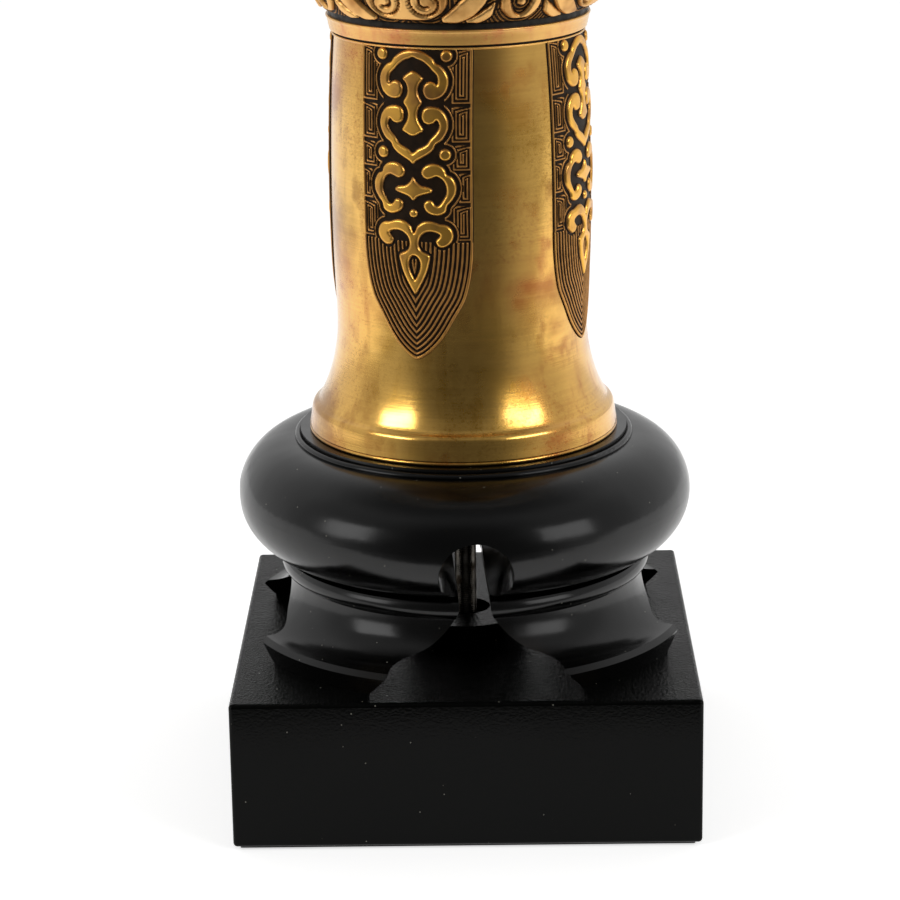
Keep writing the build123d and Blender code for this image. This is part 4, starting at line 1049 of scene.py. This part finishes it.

# %% [markdown]
# The cloth and tapes are shaded smooth, ride on the shade's body and take the places of their CAD pieces.
# A leaning sleeve is cut as an arc of a wide ring, so its flat area is less than the rectangle that
# it comes out of.

def dress_shade(piece, node):
    piece.data.shade_smooth()
    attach(piece, "shade")
    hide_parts(node)


dress_shade(cloth, "shade_fabric")
for tape, (_, node, bottom) in zip(tapes, tape_rows):
    dress_shade(tape, node)

# %% [markdown]
# ## Felt under the plinth
# The plinth stands on a glued square of felt. It is a thin slab with soft edges, so its outline is
# stacked four times, a little drawn in at the bottom and the top, with a fuzzy finish.

# %% Felt
felt_finish = Finish("felt_green_black", Roughness=0.95, Sheen_Weight=0.6, Sheen_Roughness=0.5)
fuzz = felt_finish.noise(1400.0, 5.0)
felt_finish.give(Base_Color=felt_finish.mix(fuzz, tone(0.012, 0.014, 0.012), tone(0.035, 0.038, 0.033)))
felt_finish.bump(fuzz, 0.0003, 0.8)
_, felt_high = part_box("felt_pad")
felt_steps = np.linspace(-1, 1, 33)
felt_half = felt_high.x
soft_edge = [
    (0.0, felt_half - 0.4 * mm), (0.35 * mm, felt_half), (1.1 * mm, felt_half),
    (1.5 * mm, felt_half - 0.3 * mm)]
loop = [(x, -1) for x in felt_steps[:-1]] + [(1, y) for y in felt_steps[:-1]]
loop += [(-x, 1) for x in felt_steps[:-1]] + [(-1, -y) for y in felt_steps[:-1]]
felt_points = [(x * half, y * half, height) for height, half in soft_edge for x, y in loop]
count = len(loop)
felt_faces = quads(len(soft_edge), count, around=True)
felt_faces.append(list(range(count))[::-1])
felt_faces.append([len(felt_points) - count + column for column in range(count)])
felt = make_piece(
    "felt_square", felt_points, felt_faces, felt_finish, stands_for=["felt_pad"], slot="felt", sharp=60)

# %% [markdown]
# ## Finishes for the pieces that stay as the CAD made them
# The harp, holder, bulb and the clamping hardware already have their true shapes, so they only need
# their finishes. Each is a row of a table: how much of a metal it is, two tones mixed by noise, the
# roughness from and to, the grain's scale, the bump in millimetres and the pieces that wear it.

# %% The rest of the finishes
glass = Finish("clear_glass", Transmission_Weight=1.0, IOR=1.47, Base_Color=tone(0.98, 0.99, 0.985))
glass.give(Roughness=glass.between(glass.noise(60.0), 0.3, 0.8, 0.0, 0.03))
worn_by = {
    turned_brass: [
        "vase_cap", "check_ring", "neck_tube", "finial", "holder_cap", "holder_shell", "switch_knob",
        "harp_ferrule_left", "harp_ferrule_right"],
    steel: ["lamp_rod"],
    glass: ["bulb_glass", "bulb_mount"],
}
recipes = [
    ("harp_brass", 1.0, (0.72, 0.47, 0.18), (0.62, 0.38, 0.13), (0.28, 0.36), 60, 0.01,
     ["harp", "harp_saddle", "shade_fitter", "shade_bottom_ring"]),
    ("zinc_steel", 1.0, (0.62, 0.62, 0.60), (0.42, 0.42, 0.40), (0.3, 0.5), 300, 0.03,
     ["bottom_washer", "lock_washer", "bottom_nut", "cap_set_screw", "terminal_screw_left",
      "terminal_screw_right", "switch_stem"]),
    # The centring plates are near-black steel, and that near-black also paints the shade in the gaps between
    # the brass sections.
    ("dark_steel", 0.6, (0.030, 0.026, 0.021), (0.012, 0.010, 0.008), (0.45, 0.65), 200, 0.05,
     ["column_plate", "knop_plate"]),
    ("black_plastic", 0.0, (0.018, 0.018, 0.018), (0.010, 0.010, 0.010), (0.35, 0.5), 500, 0.03,
     ["cord_bushing"]),
    ("brown_phenolic", 0.0, (0.035, 0.022, 0.016), (0.018, 0.012, 0.010), (0.3, 0.45), 350, 0.03,
     ["holder_core"]),
    ("grey_card", 0.0, (0.30, 0.27, 0.22), (0.22, 0.19, 0.15), (0.85, 0.95), 900, 0.06, ["holder_liner"]),
    ("nickelled_shell", 1.0, (0.68, 0.62, 0.48), (0.50, 0.44, 0.32), (0.2, 0.35), 220, 0.02,
     ["screw_shell", "bulb_base", "bulb_contact", "centre_contact"]),
    ("black_insulator", 0.0, (0.014, 0.013, 0.013), (0.022, 0.020, 0.019), (0.15, 0.3), 300, 0.02,
     ["bulb_insulator"]),
    ("tungsten_wire", 1.0, (0.45, 0.43, 0.40), (0.28, 0.27, 0.26), (0.35, 0.5), 900, 0.02,
     ["bulb_filament"]),
    ("white_lining", 0.0, (0.88, 0.87, 0.84), (0.85, 0.84, 0.80), (0.4, 0.5), 40, 0.03, ["shade_lining"]),
]
for name, metallic, light, dark, roughness, scale, bump, pieces in recipes:
    finish = Finish(name, Metallic=metallic)
    pattern = finish.noise(scale, 4.0)
    finish.give(
        Base_Color=finish.mix(finish.between(pattern, 0.35, 0.7), tone(*light), tone(*dark)),
        Roughness=finish.between(pattern, 0.3, 0.75, *roughness))
    finish.bump(finish.noise(scale * 4, 3.0), bump * mm, 0.4)
    worn_by[finish] = pieces
for finish, pieces in worn_by.items():
    for piece in pieces:
        nodes[piece].data.materials[0] = finish.material
print("finished CAD pieces:", sum(len(pieces) for pieces in worn_by.values()))

# %% [markdown]
# The Standard view shows colours as they are written.

# %% Settings
scene.view_settings.view_transform = "Standard"
